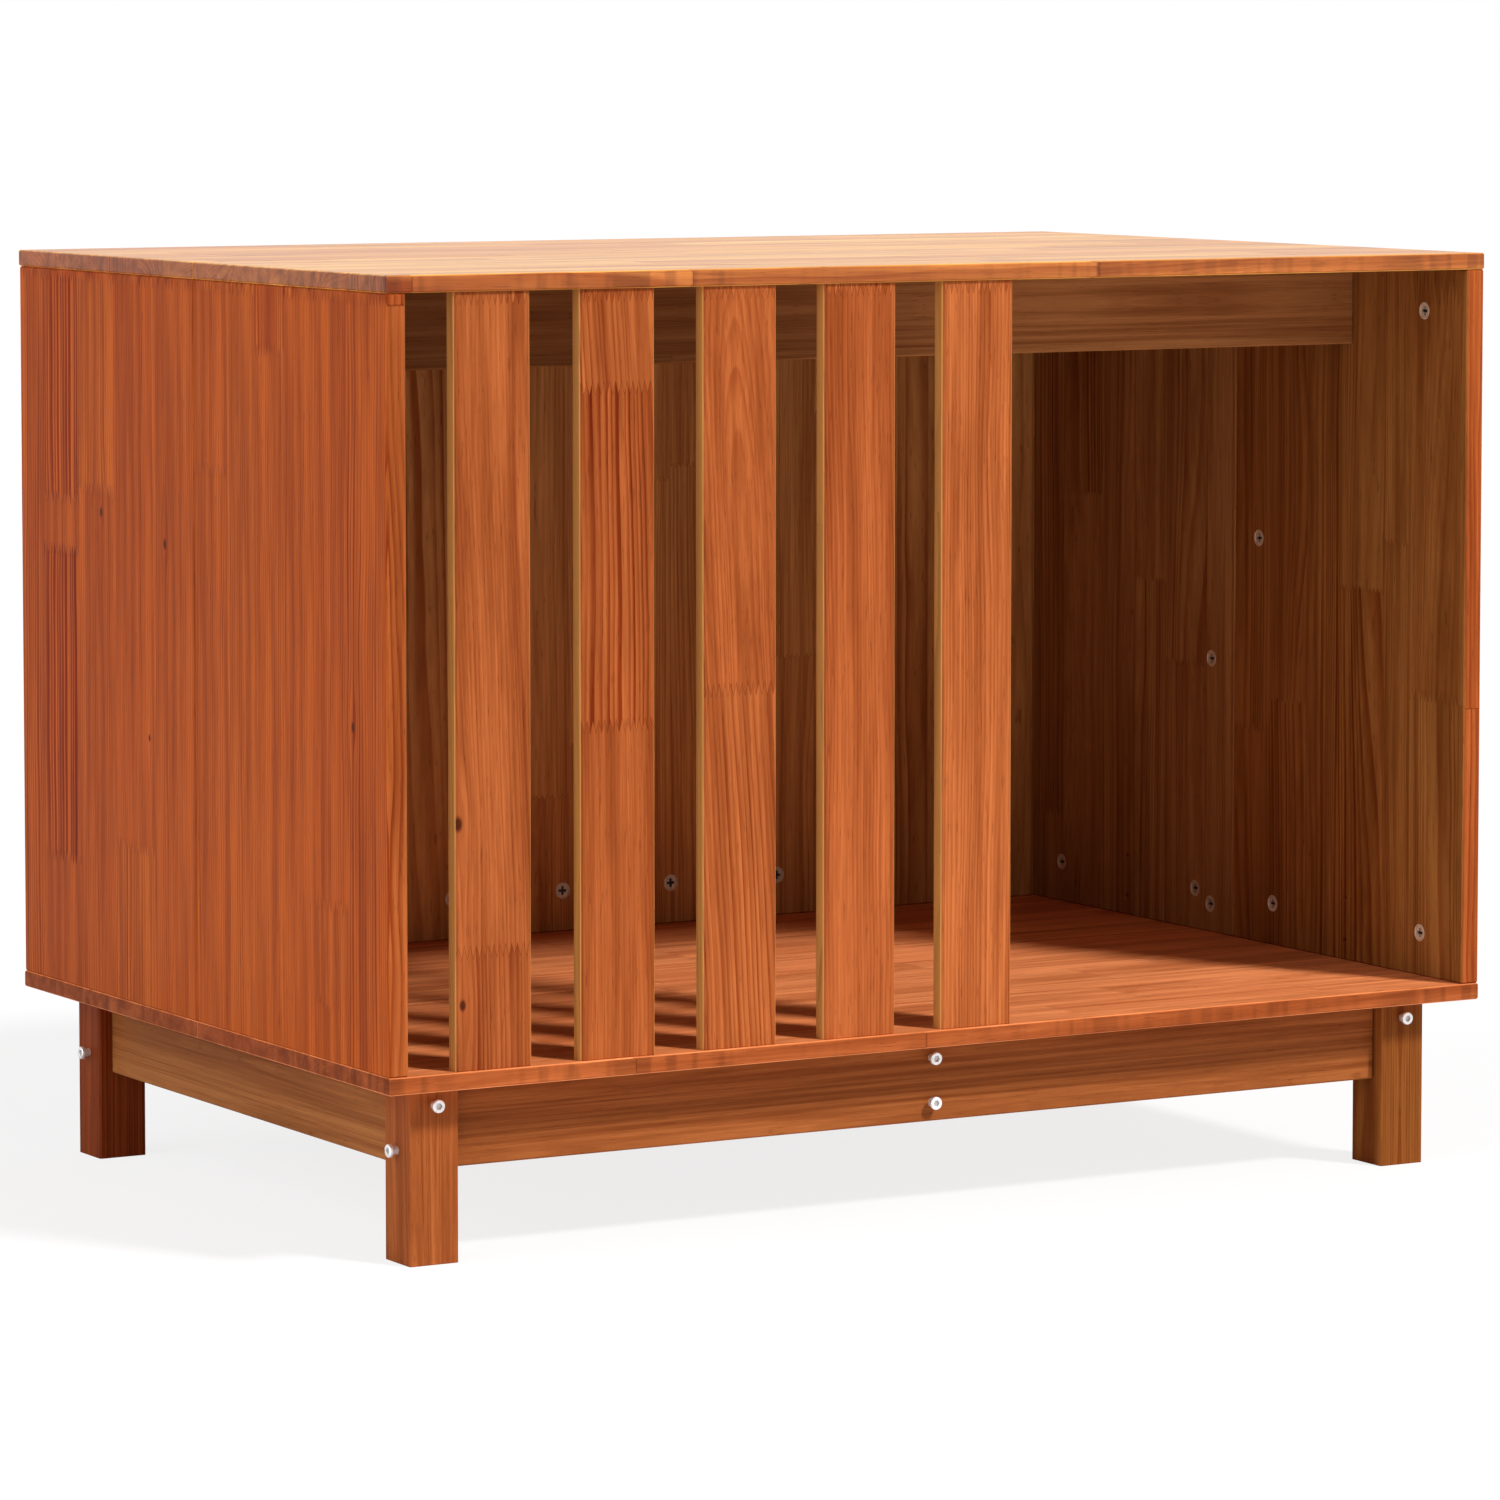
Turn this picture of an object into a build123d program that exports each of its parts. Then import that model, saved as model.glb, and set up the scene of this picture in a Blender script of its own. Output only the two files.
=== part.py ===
from build123d import *
import os

os.makedirs("parts", exist_ok=True)

# An indoor kennel of pine boards. Roof, floor, sides and back are joined by cam locks,
# the left half of the front is barred by upright slats beside an open doorway, and the
# cabin stands on a bolted frame with four short legs.
# Sizes are in millimetres. The origin is on the ground under the middle of the kennel,
# X runs along the front to the right, Y to the back, and Z up.

# Cabin
kennel_width = 900.0
kennel_depth = 600.0
cabin_height = 526.0
flat_thickness = 12.0
wall_thickness = 15.0
back_thickness = 12.0
wall_front_inset = 1.0
wall_rear_inset = 2.0
arris = 1.2

# Slats of the front, counted from the left wall, and the rails under the roof
slat_count = 5
slat_width = 58.0
slat_thickness = 12.0
slat_gap = 38.0
first_slat_gap = 37.0
slat_setback = 3.0
slat_arris = 1.6
rail_height = 60.0
rail_thickness = 12.0

# Legs and the frame between them
leg_height = 123.0
leg_side = 37.5
leg_rounding = 2.0
leg_end_inset = 29.5
leg_front_inset = 28.5
leg_rear_inset = 31.5
apron_height = 59.0
apron_thickness = 18.0
apron_setback = 10.0

# Cam locks. A cam turns in a bore in one board's face and pulls the head of a bolt
# that is screwed into the next board.
cam_radius = 6.0
cam_from_edge = 32.0
cam_below_bolt = 3.8
cam_sunk = 0.3
cam_mouth = 6.8
cam_mouth_past_centre = 1.0
wall_cam_spread = 192.0
seam_cam_from_end = 22.0
seam_cam_spread = 192.0
back_board_count = 3
back_cams_per_board = 3
cam_bolt_radius = 3.0
cam_bolt_room = 0.5
cam_bolt_in_flat = 9.0

# Small blind holes at both ends of each wall board; the upper ones carry the rails
rail_hole_radius = 2.5
rail_hole_depth = 10.5
rail_hole_from_end = 15.0
rail_hole_pitch = 32.0
rail_dowel_in_rail = 20.0

# Glued dowels of the slats, the back's seams and the frame
dowel_radius = 3.0
dowel_length = 30.0
dowel_in_flat = 8.0
slat_dowel_pitch = 32.0
back_dowel_pitch = 160.0
back_dowels_per_seam = 3
apron_dowel_spread = 384.0
side_apron_dowel_spread = 192.0

# Bolts of the frame, which stand a little proud, and their barrel nuts
bolt_radius = 3.0
bolt_head_radius = 4.6
bolt_head_height = 2.5
bolt_neck_shown = 4.8
bolt_socket_radius = 2.4
bolt_socket_depth = 1.6
bolt_grip = 30.0
upper_bolt_drop = 13.5
lower_bolt_drop = 45.5
nut_radius = 5.0
nut_length = 12.0
nut_from_end = 20.0

# Room round a bolt, dowel, cam or nut in its bore, and past its end
fit = 0.1
bore_end_room = 0.5

# The many round fixings are drawn with few sides, their corners on the true circle:
# fewer for what stays inside the wood than for what shows on a face
shown_sides = 10
hidden_sides = 6

# Levels and faces that the boards share
floor_bottom = leg_height
floor_top = floor_bottom + flat_thickness
roof_bottom = floor_top + cabin_height
cabin_middle_z = (floor_top + roof_bottom) / 2
front_y = -kennel_depth / 2
wall_front_y = front_y + wall_front_inset
wall_rear_y = kennel_depth / 2 - wall_rear_inset
seam_y = (wall_front_y + wall_rear_y) / 2
wall_board_width = wall_rear_y - seam_y
wall_board_middles = {
    "front": seam_y - wall_board_width / 2,
    "rear": seam_y + wall_board_width / 2,
}
wall_inner_x = kennel_width / 2 - wall_thickness
wall_middle_x = kennel_width / 2 - wall_thickness / 2
back_y = wall_rear_y - back_thickness / 2
back_board_width = 2 * wall_inner_x / back_board_count
slat_y = front_y + slat_setback + slat_thickness / 2
slat_pitch = slat_width + slat_gap
first_slat_x = -wall_inner_x + first_slat_gap + slat_width / 2

# Centre lines of the legs and of the frame between them
leg_x = kennel_width / 2 - leg_end_inset - leg_side / 2
leg_ys = {
    "front": front_y + leg_front_inset + leg_side / 2,
    "back": kennel_depth / 2 - leg_rear_inset - leg_side / 2,
}
apron_from_leg = apron_setback + apron_thickness / 2 - leg_side / 2
side_apron_x = leg_x - apron_from_leg
apron_ys = {
    "front": leg_ys["front"] + apron_from_leg,
    "back": leg_ys["back"] - apron_from_leg,
}
apron_length = 2 * leg_x - leg_side
side_apron_length = leg_ys["back"] - leg_ys["front"] - leg_side
side_apron_y = (leg_ys["front"] + leg_ys["back"]) / 2
stretcher_length = apron_ys["back"] - apron_ys["front"] - apron_thickness
stretcher_y = (apron_ys["front"] + apron_ys["back"]) / 2
apron_z = floor_bottom - apron_height / 2


def save(part, label):
    """Names a finished piece and writes it."""
    part.label = label
    export_step(part, f"parts/{label}.step")


def row(count, pitch):
    """Places of a row of things that is centred on zero."""
    return [pitch * (i - (count - 1) / 2) for i in range(count)]


# Each fixing is drawn once, standing on the joint that it closes: Z=0 is where the two
# pieces meet. The same planes then place the fixing and cut its bores in both pieces.


def prism(radius, bottom, top, sides=hidden_sides):
    """A hidden shank, dowel or bore along Z."""
    with BuildPart() as shank:
        with BuildSketch(Plane.XY.offset(bottom)):
            RegularPolygon(radius, sides)
        extrude(amount=top - bottom)
    return shank.part


def disc_along_x(radius, height, start, end):
    """A round thing whose axis lies along X at a height over the joint."""
    with BuildPart() as disc:
        with BuildSketch(Plane.YZ.offset(start)):
            with Locations((0, height)):
                RegularPolygon(radius, shown_sides)
        extrude(amount=end - start)
    return disc.part


def cam(thickness):
    """The cam of a board whose face is half its thickness from the bolt's axis. Its
    mouth is open underneath and takes in the bolt's head from the side."""
    mouth_depth = cam_mouth / 2 + cam_below_bolt
    mouth_length = cam_radius + cam_mouth_past_centre
    mouth_x = cam_mouth / 2 - mouth_depth / 2
    mouth_z = cam_from_edge - cam_radius + mouth_length / 2
    top = thickness / 2 - cam_sunk
    with BuildPart() as lock:
        add(disc_along_x(cam_radius - fit, cam_from_edge, -cam_below_bolt, top))
        with Locations((mouth_x, 0, mouth_z)):
            Box(mouth_depth, cam_mouth, mouth_length, mode=Mode.SUBTRACT)
    return lock.part


def cam_bores(thickness):
    """What a cam and its bolt take out of both boards."""
    with BuildPart() as bores:
        add(disc_along_x(cam_radius, cam_from_edge, -cam_below_bolt, thickness / 2 + 1))
        add(prism(cam_bolt_radius + cam_bolt_room, 0, cam_from_edge))
        add(prism(cam_bolt_radius + fit, -cam_bolt_in_flat - bore_end_room, 0))
    return bores.part


def dowel_bores(radius, below, above):
    """What a dowel takes out of the two pieces that it joins."""
    return prism(radius + fit, -below - bore_end_room, above + bore_end_room)


def frame_bolt(through):
    """A bolt with its head outside a leg or apron and its end past the barrel nut."""
    head_top = bolt_neck_shown + bolt_head_height
    with BuildPart() as bolt:
        add(prism(bolt_head_radius, -head_top, -bolt_neck_shown, shown_sides))
        add(prism(bolt_radius, -bolt_neck_shown, through + bolt_grip))
        socket = prism(bolt_socket_radius, -head_top, bolt_socket_depth - head_top)
        add(socket, mode=Mode.SUBTRACT)
    return bolt.part


def barrel_nut(through):
    """A barrel nut across a frame bolt."""
    with BuildPart() as nut:
        add(
            disc_along_x(
                nut_radius - fit, through + nut_from_end, -nut_length / 2, nut_length / 2
            )
        )
        add(prism(bolt_radius + fit, 0, through + bolt_grip), mode=Mode.SUBTRACT)
    return nut.part


def frame_bolt_bores(through):
    """What a frame bolt and its nut take out of the pieces that they join."""
    with BuildPart() as bores:
        add(prism(bolt_radius + fit, 0, through + bolt_grip + bore_end_room))
        add(
            disc_along_x(
                nut_radius, through + nut_from_end, -nut_length / 2, apron_thickness / 2 + 1
            )
        )
    return bores.part


def joint(x, y, z, along, across=None):
    """The plane of a joint: its Z enters the piece that holds the fixing's longer end,
    and its X points out of the face that a cam or nut is let into."""
    return Plane(origin=(x, y, z), x_dir=across, z_dir=along)


up, down = (0, 0, 1), (0, 0, -1)
floor_and_roof = ((floor_top, up), (roof_bottom, down))

# Joints of the wall boards with floor and roof, and with each other. All four boards are
# the same: a board turned half round stands beside its neighbour, so that each seam has
# two cams low in one board and two high in the other.
wall_joints = [
    joint(side * wall_middle_x, middle + dy, level, along, (-side, 0, 0))
    for side in (-1, 1)
    for middle in wall_board_middles.values()
    for dy in row(2, wall_cam_spread)
    for level, along in floor_and_roof
]
seam_joints = [
    joint(
        side * wall_middle_x,
        seam_y,
        level + along[2] * (seam_cam_from_end + rise),
        (0, side * along[2], 0),
        (-side, 0, 0),
    )
    for side in (-1, 1)
    for rise in (0, seam_cam_spread)
    for level, along in floor_and_roof
]

# Joints of the back boards with floor and roof, and the dowelled seams between them
back_board_xs = row(back_board_count, back_board_width)
back_cam_pitch = back_board_width / back_cams_per_board
back_joints = [
    joint(middle + dx, back_y, level, along, (0, -1, 0))
    for middle in back_board_xs
    for dx in row(back_cams_per_board, back_cam_pitch)
    for level, along in floor_and_roof
]
back_seam_joints = [
    joint(x, back_y, cabin_middle_z + dz, (1, 0, 0))
    for x in row(back_board_count - 1, back_board_width)
    for dz in row(back_dowels_per_seam, back_dowel_pitch)
]

# Joints of the slats, of the rails and of the frame with the floor
slat_xs = [first_slat_x + slat_pitch * i for i in range(slat_count)]
slat_joints = [
    joint(x + dx, slat_y, level, along)
    for x in slat_xs
    for dx in row(2, slat_dowel_pitch)
    for level, along in floor_and_roof
]
rail_hole_rises = (rail_hole_from_end, rail_hole_from_end + rail_hole_pitch)
rail_joints, empty_rail_holes = (
    [
        joint(side * wall_inner_x, middle, level + along[2] * rise, (-side, 0, 0))
        for side in (-1, 1)
        for middle in wall_board_middles.values()
        for rise in rail_hole_rises
    ]
    for level, along in ((roof_bottom, down), (floor_top, up))
)
frame_joints = [
    joint(dx, y, floor_bottom, down)
    for y in apron_ys.values()
    for dx in row(2, apron_dowel_spread)
] + [
    joint(side * side_apron_x, side_apron_y + dy, floor_bottom, down)
    for side in (-1, 1)
    for dy in row(2, side_apron_dowel_spread)
]

# Bolts of the frame, each seen from the face that its head stands before. The lower ones
# pass a leg into a long apron, the upper ones a leg into a side apron, and two of each
# pass a long apron into the stretcher.
leg_bolt_joints = [
    joint(
        side * (leg_x + leg_side / 2),
        apron_ys[end],
        floor_bottom - lower_bolt_drop,
        (-side, 0, 0),
        (0, inward, 0),
    )
    for side in (-1, 1)
    for end, inward in (("front", 1), ("back", -1))
] + [
    joint(
        side * side_apron_x,
        leg_ys[end] - inward * leg_side / 2,
        floor_bottom - upper_bolt_drop,
        (0, inward, 0),
        (-side, 0, 0),
    )
    for side in (-1, 1)
    for end, inward in (("front", 1), ("back", -1))
]
stretcher_bolt_joints = [
    joint(
        0,
        apron_ys[end] - inward * apron_thickness / 2,
        floor_bottom - drop,
        (0, inward, 0),
        (1, 0, 0),
    )
    for end, inward in (("front", 1), ("back", -1))
    for drop in (upper_bolt_drop, lower_bolt_drop)
]

# The fixings and their bores
wall_cam_bores = cam_bores(wall_thickness)
back_cam_bores = cam_bores(back_thickness)
flat_dowel_bores = dowel_bores(dowel_radius, dowel_in_flat, dowel_length - dowel_in_flat)
seam_dowel_bores = dowel_bores(dowel_radius, dowel_length / 2, dowel_length / 2)
rail_bore_top = rail_dowel_in_rail + bore_end_room
rail_bores = prism(rail_hole_radius, -rail_hole_depth, rail_bore_top, shown_sides)
leg_bolt_bores = frame_bolt_bores(leg_side)
stretcher_bolt_bores = frame_bolt_bores(apron_thickness)

# Floor and roof, two boards each
for place, middle in (("front", front_y / 2), ("rear", -front_y / 2)):
    for name, bottom in (("floor", floor_bottom), ("roof", roof_bottom)):
        with BuildPart() as flat_board:
            with Locations((0, middle, bottom + flat_thickness / 2)):
                Box(kennel_width, kennel_depth / 2, flat_thickness)
            chamfer(flat_board.edges(), arris)
            with Locations(*wall_joints):
                add(wall_cam_bores, mode=Mode.SUBTRACT)
            if place == "rear":
                with Locations(*back_joints):
                    add(back_cam_bores, mode=Mode.SUBTRACT)
            else:
                with Locations(*slat_joints):
                    add(flat_dowel_bores, mode=Mode.SUBTRACT)
            if name == "floor":
                with Locations(*frame_joints):
                    add(flat_dowel_bores, mode=Mode.SUBTRACT)
        save(flat_board.part, f"{name}_board_{place}")

# Side walls, two upright boards each
for side_name, side in (("left", -1), ("right", 1)):
    for place, middle in wall_board_middles.items():
        with BuildPart() as wall_board:
            with Locations((side * wall_middle_x, middle, cabin_middle_z)):
                Box(wall_thickness, wall_board_width, cabin_height)
            chamfer(wall_board.edges(), arris)
            with Locations(*wall_joints, *seam_joints):
                add(wall_cam_bores, mode=Mode.SUBTRACT)
            with Locations(*rail_joints, *empty_rail_holes):
                add(rail_bores, mode=Mode.SUBTRACT)
        save(wall_board.part, f"{side_name}_wall_{place}")

# Back, three upright boards between the side walls
for name, x in zip(("left", "middle", "right"), back_board_xs):
    with BuildPart() as back_board:
        with Locations((x, back_y, cabin_middle_z)):
            Box(back_board_width, back_thickness, cabin_height)
        chamfer(back_board.edges(), arris)
        with Locations(*back_joints):
            add(back_cam_bores, mode=Mode.SUBTRACT)
        with Locations(*back_seam_joints):
            add(seam_dowel_bores, mode=Mode.SUBTRACT)
    save(back_board.part, f"back_board_{name}")

# Slats of the front
for number, x in enumerate(slat_xs, 1):
    with BuildPart() as slat:
        with Locations((x, slat_y, cabin_middle_z)):
            Box(slat_width, slat_thickness, cabin_height)
        chamfer(slat.edges().filter_by(Axis.Z), slat_arris)
        with Locations(*slat_joints):
            add(flat_dowel_bores, mode=Mode.SUBTRACT)
    save(slat.part, f"front_slat_{number}")

# Rails under the roof, across the middle of the front and rear wall boards
for place, middle in wall_board_middles.items():
    with BuildPart() as rail:
        with Locations((0, middle, roof_bottom - rail_height / 2)):
            Box(2 * wall_inner_x, rail_thickness, rail_height)
        chamfer(rail.edges(), arris)
        with Locations(*rail_joints):
            add(rail_bores, mode=Mode.SUBTRACT)
    save(rail.part, f"{place}_rail")

# Legs
for end, y in leg_ys.items():
    for side_name, side in (("left", -1), ("right", 1)):
        with BuildPart() as leg:
            with Locations((side * leg_x, y, leg_height / 2)):
                Box(leg_side, leg_side, leg_height)
            fillet(leg.edges().filter_by(Axis.Z), leg_rounding)
            with Locations(*leg_bolt_joints):
                add(leg_bolt_bores, mode=Mode.SUBTRACT)
        save(leg.part, f"leg_{end}_{side_name}")

# Aprons along the front and back, aprons along the sides, and the stretcher under the
# middle of the floor
for end, y in apron_ys.items():
    with BuildPart() as apron:
        with Locations((0, y, apron_z)):
            Box(apron_length, apron_thickness, apron_height)
        chamfer(apron.edges(), arris)
        with Locations(*leg_bolt_joints):
            add(leg_bolt_bores, mode=Mode.SUBTRACT)
        with Locations(*stretcher_bolt_joints):
            add(stretcher_bolt_bores, mode=Mode.SUBTRACT)
        with Locations(*frame_joints):
            add(flat_dowel_bores, mode=Mode.SUBTRACT)
    save(apron.part, f"{end}_apron")
for side_name, side in (("left", -1), ("right", 1)):
    with BuildPart() as side_apron:
        with Locations((side * side_apron_x, side_apron_y, apron_z)):
            Box(apron_thickness, side_apron_length, apron_height)
        chamfer(side_apron.edges(), arris)
        with Locations(*leg_bolt_joints):
            add(leg_bolt_bores, mode=Mode.SUBTRACT)
        with Locations(*frame_joints):
            add(flat_dowel_bores, mode=Mode.SUBTRACT)
    save(side_apron.part, f"{side_name}_apron")
with BuildPart() as stretcher:
    with Locations((0, stretcher_y, apron_z)):
        Box(apron_thickness, stretcher_length, apron_height)
    chamfer(stretcher.edges(), arris)
    with Locations(*stretcher_bolt_joints):
        add(stretcher_bolt_bores, mode=Mode.SUBTRACT)
save(stretcher.part, "centre_stretcher")

# Cam locks of the walls, of their seams and of the back
with BuildPart() as wall_cams:
    with Locations(*wall_joints, *seam_joints):
        add(cam(wall_thickness))
save(wall_cams.part, "wall_cams")
with BuildPart() as back_cams:
    with Locations(*back_joints):
        add(cam(back_thickness))
save(back_cams.part, "back_cams")
cam_bolt_sets = (
    ("wall_cam_bolts", wall_joints),
    ("seam_cam_bolts", seam_joints),
    ("back_cam_bolts", back_joints),
)
for label, joints in cam_bolt_sets:
    with BuildPart() as cam_bolts:
        with Locations(*joints):
            add(prism(cam_bolt_radius, -cam_bolt_in_flat, cam_from_edge))
    save(cam_bolts.part, label)

# Dowels
dowel_sets = (
    ("slat_dowels", slat_joints, dowel_in_flat),
    ("frame_dowels", frame_joints, dowel_in_flat),
    ("back_dowels", back_seam_joints, dowel_length / 2),
)
for label, joints, below in dowel_sets:
    with BuildPart() as dowels:
        with Locations(*joints):
            add(prism(dowel_radius, -below, dowel_length - below))
    save(dowels.part, label)
in_wall = rail_hole_depth - bore_end_room
with BuildPart() as rail_dowels:
    with Locations(*rail_joints):
        add(prism(rail_hole_radius - fit, -in_wall, rail_dowel_in_rail, shown_sides))
save(rail_dowels.part, "rail_dowels")

# Bolts and barrel nuts of the frame
for label, joints, through in (
    ("leg", leg_bolt_joints, leg_side),
    ("stretcher", stretcher_bolt_joints, apron_thickness),
):
    with BuildPart() as frame_bolts:
        with Locations(*joints):
            add(frame_bolt(through))
    save(frame_bolts.part, f"{label}_bolts")
    with BuildPart() as barrel_nuts:
        with Locations(*joints):
            add(barrel_nut(through))
    save(barrel_nuts.part, f"{label}_barrel_nuts")
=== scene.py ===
import math

import bpy
import numpy as np
from bpy.props import FloatProperty, FloatVectorProperty, PointerProperty
from mathutils import Matrix, Vector


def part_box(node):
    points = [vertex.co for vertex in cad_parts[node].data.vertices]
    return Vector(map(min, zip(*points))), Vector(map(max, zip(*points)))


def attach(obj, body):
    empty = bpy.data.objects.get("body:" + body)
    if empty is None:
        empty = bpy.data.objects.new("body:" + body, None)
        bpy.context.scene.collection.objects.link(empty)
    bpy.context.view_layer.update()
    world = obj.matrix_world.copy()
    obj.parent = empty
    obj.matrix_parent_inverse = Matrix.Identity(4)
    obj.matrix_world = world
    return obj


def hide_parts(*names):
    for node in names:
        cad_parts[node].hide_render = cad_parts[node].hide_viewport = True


bl_info = {
    "name": "Pine kennel",
    "version": (1, 0, 0),
    "blender": (4, 5, 0),
    "location": "View3D > Sidebar > Kennel",
    "description": "Stained pine, cam locks, frame bolts and a studio for a slatted indoor kennel",
    "category": "Object",
}

# The packed kennel is the fixed frame. Lengths are in metres in its own axes: X along the
# front to the right, Y to the back, Z up, with the ground at zero.
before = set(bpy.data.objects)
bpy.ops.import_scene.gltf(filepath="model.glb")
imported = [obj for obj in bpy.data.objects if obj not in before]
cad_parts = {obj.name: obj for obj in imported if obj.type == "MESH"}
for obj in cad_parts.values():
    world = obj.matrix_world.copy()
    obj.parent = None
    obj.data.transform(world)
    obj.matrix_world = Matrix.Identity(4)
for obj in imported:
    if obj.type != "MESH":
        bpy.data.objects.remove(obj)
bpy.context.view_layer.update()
MM = 0.001


def srgb(red, green, blue):
    """A colour as it is seen, 0 to 255, turned into the linear values that shaders use."""
    seen = np.array((red, green, blue)) / 255
    linear = np.where(seen > 0.04045, ((seen + 0.055) / 1.055) ** 2.4, seen / 12.92)
    return tuple(float(v) for v in linear)


def colour_property(name, description, seen):
    """A colour that a user may change, given as it is seen."""
    return FloatVectorProperty(
        name=name, description=description, subtype="COLOR", min=0, max=1, default=srgb(*seen)
    )


def length_property(name, description, default):
    """A length that a user may change, in metres."""
    return FloatProperty(
        name=name, description=description, unit="LENGTH", min=0, default=default, precision=4
    )


class PineFinish(bpy.types.PropertyGroup):
    """Colours and figure of the stained pine."""

    orange: colour_property("Orange stain", "Early wood of the brightest blocks", (194, 112, 63))
    red: colour_property("Red stain", "Early wood of the deepest blocks", (176, 89, 46))
    late_wood: colour_property(
        "Late wood", "What the dark line of a growth ring leaves of the stain", (190, 142, 108)
    )
    planed_edge: colour_property(
        "Planed edge", "Long narrow faces, where the stain is thin and olive", (204, 144, 78)
    )
    lamella_width: length_property("Lamella width", "Width of one glued strip", 0.047)
    block_length: length_property("Block length", "Usual length between finger joints", 0.34)
    finger_length: length_property("Finger length", "Depth of a finger joint", 0.009)
    finger_pitch: length_property("Finger pitch", "Width of one finger", 0.0045)
    ring_width: length_property("Ring width", "Width of one growth ring", 0.0034)
    gloss: FloatProperty(
        name="Gloss roughness",
        description="Roughness of the satin wax",
        subtype="FACTOR",
        min=0,
        max=1,
        default=0.36,
    )


class FixingFinish(bpy.types.PropertyGroup):
    """Colours and sizes of the cam locks and the frame bolts."""

    zinc: colour_property("Zinc", "Cast zinc of the cam locks", (206, 182, 158))
    bright: colour_property("Bright steel", "Nickelled steel of the frame bolts", (246, 246, 246))
    cross_reach: length_property("Cross reach", "From a cam's middle to a slot's end", 0.0032)
    cross_width: length_property("Cross width", "Width of a slot of a cam's cross", 0.0019)
    cross_depth: length_property("Cross depth", "Depth of a cam's cross", 0.0018)
    rim_reach: length_property("Rim reach", "Radius of a cam's thin rim", 0.0064)
    rim_height: length_property("Rim height", "How far the rim stands on the board", 0.00025)
    head_rounding: length_property("Head rounding", "Rounding of a bolt's head", 0.0007)


class Studio(bpy.types.PropertyGroup):
    """Lamps, surroundings and camera."""

    key: FloatProperty(name="Key", description="Strength of the key lamp", min=0, default=3.6)
    fill: FloatProperty(name="Fill", description="Strength of the fill lamp", min=0, default=1.6)
    ambient: FloatProperty(
        name="Ambient", description="Strength of the surroundings as light", min=0, default=0.27
    )
    floor: colour_property("Floor", "Pale studio floor", (244, 244, 244))
    lens: FloatProperty(
        name="Lens", description="Focal length", unit="CAMERA", min=1, default=160.13
    )


class KennelSettings(bpy.types.PropertyGroup):
    """All settings of the kennel."""

    pine: PointerProperty(type=PineFinish, name="Pine", description="Stained pine")
    fixings: PointerProperty(type=FixingFinish, name="Fixings", description="Cams and bolts")
    studio: PointerProperty(type=Studio, name="Studio", description="Lamps and camera")


# Node trees are wired through this helper, which puts each node right of the last one.


class Wiring:
    """Adds nodes to a tree and joins them. An input is a value or another node's output."""

    def __init__(self, tree):
        self.tree = tree
        self.count = 0

    def add(self, kind, inputs=None, **settings):
        """A new node with its settings and inputs; inputs go by name or by number."""
        node = self.tree.nodes.new(kind)
        node.location = (210 * (self.count // 4), -230 * (self.count % 4))
        self.count += 1
        for name, value in settings.items():
            setattr(node, name, value)
        for key, value in (inputs or {}).items():
            self.put(node.inputs[key], value)
        return node

    def put(self, socket, value):
        """Links an output into a socket, or sets the socket's own value."""
        if isinstance(value, bpy.types.NodeSocket):
            self.tree.links.new(value, socket)
        elif socket.type == "RGBA" and len(value) == 3:
            socket.default_value = (*value, 1)
        else:
            socket.default_value = value

    def math(self, operation, *values):
        """A number worked out from others."""
        node = self.add("ShaderNodeMath", dict(enumerate(values)), operation=operation)
        return node.outputs[0]

    def times(self, a, b):
        """A product."""
        return self.math("MULTIPLY", a, b)

    def plus(self, a, b):
        """A sum."""
        return self.math("ADD", a, b)

    def minus(self, a, b):
        """A difference."""
        return self.math("SUBTRACT", a, b)

    def vector(self, operation, *values):
        """A vector worked out from others."""
        node = self.add("ShaderNodeVectorMath", dict(enumerate(values)), operation=operation)
        return node.outputs["Value" if operation == "LENGTH" else "Vector"]

    def ramp(self, value, low, high, first=0.0, last=1.0):
        """A soft step from first to last as value goes from low to high."""
        inputs = {"Value": value, "From Min": low, "From Max": high}
        inputs |= {"To Min": first, "To Max": last}
        node = self.add("ShaderNodeMapRange", inputs, interpolation_type="SMOOTHSTEP")
        return node.outputs[0]

    def mix(self, share, a, b, blend="MIX"):
        """Two colours mixed."""
        node = self.add("ShaderNodeMix", data_type="RGBA", blend_type=blend)
        for socket, value in zip((node.inputs[0], node.inputs[6], node.inputs[7]), (share, a, b)):
            self.put(socket, value)
        return node.outputs[2]

    def tinted(self, colour, tint):
        """A colour multiplied by another."""
        return self.mix(1.0, colour, tint, "MULTIPLY")

    def mix_number(self, share, a, b):
        """Two numbers mixed."""
        return self.add("ShaderNodeMix", {0: share, 2: a, 3: b}, data_type="FLOAT").outputs[0]

    def mix_vector(self, share, a, b):
        """Two vectors mixed."""
        return self.add("ShaderNodeMix", {0: share, 4: a, 5: b}, data_type="VECTOR").outputs[1]

    def noise(self, vector, stretch, detail=2.0, roughness=0.5):
        """Noise from 0 to 1, with its own number of waves per metre along each axis."""
        place = self.vector("MULTIPLY", vector, stretch)
        inputs = {"Vector": place, "Scale": 1.0, "Detail": detail, "Roughness": roughness}
        return self.add("ShaderNodeTexNoise", inputs).outputs["Fac"]

    def group(self, tree, inputs):
        """The outputs of a node group with these inputs."""
        return self.add("ShaderNodeGroup", inputs, node_tree=tree).outputs

    def split(self, vector):
        """The three numbers of a vector."""
        return tuple(self.add("ShaderNodeSeparateXYZ", {0: vector}).outputs)

    def join(self, x, y, z):
        """A vector of three numbers."""
        return self.add("ShaderNodeCombineXYZ", {0: x, 1: y, 2: z}).outputs[0]


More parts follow.
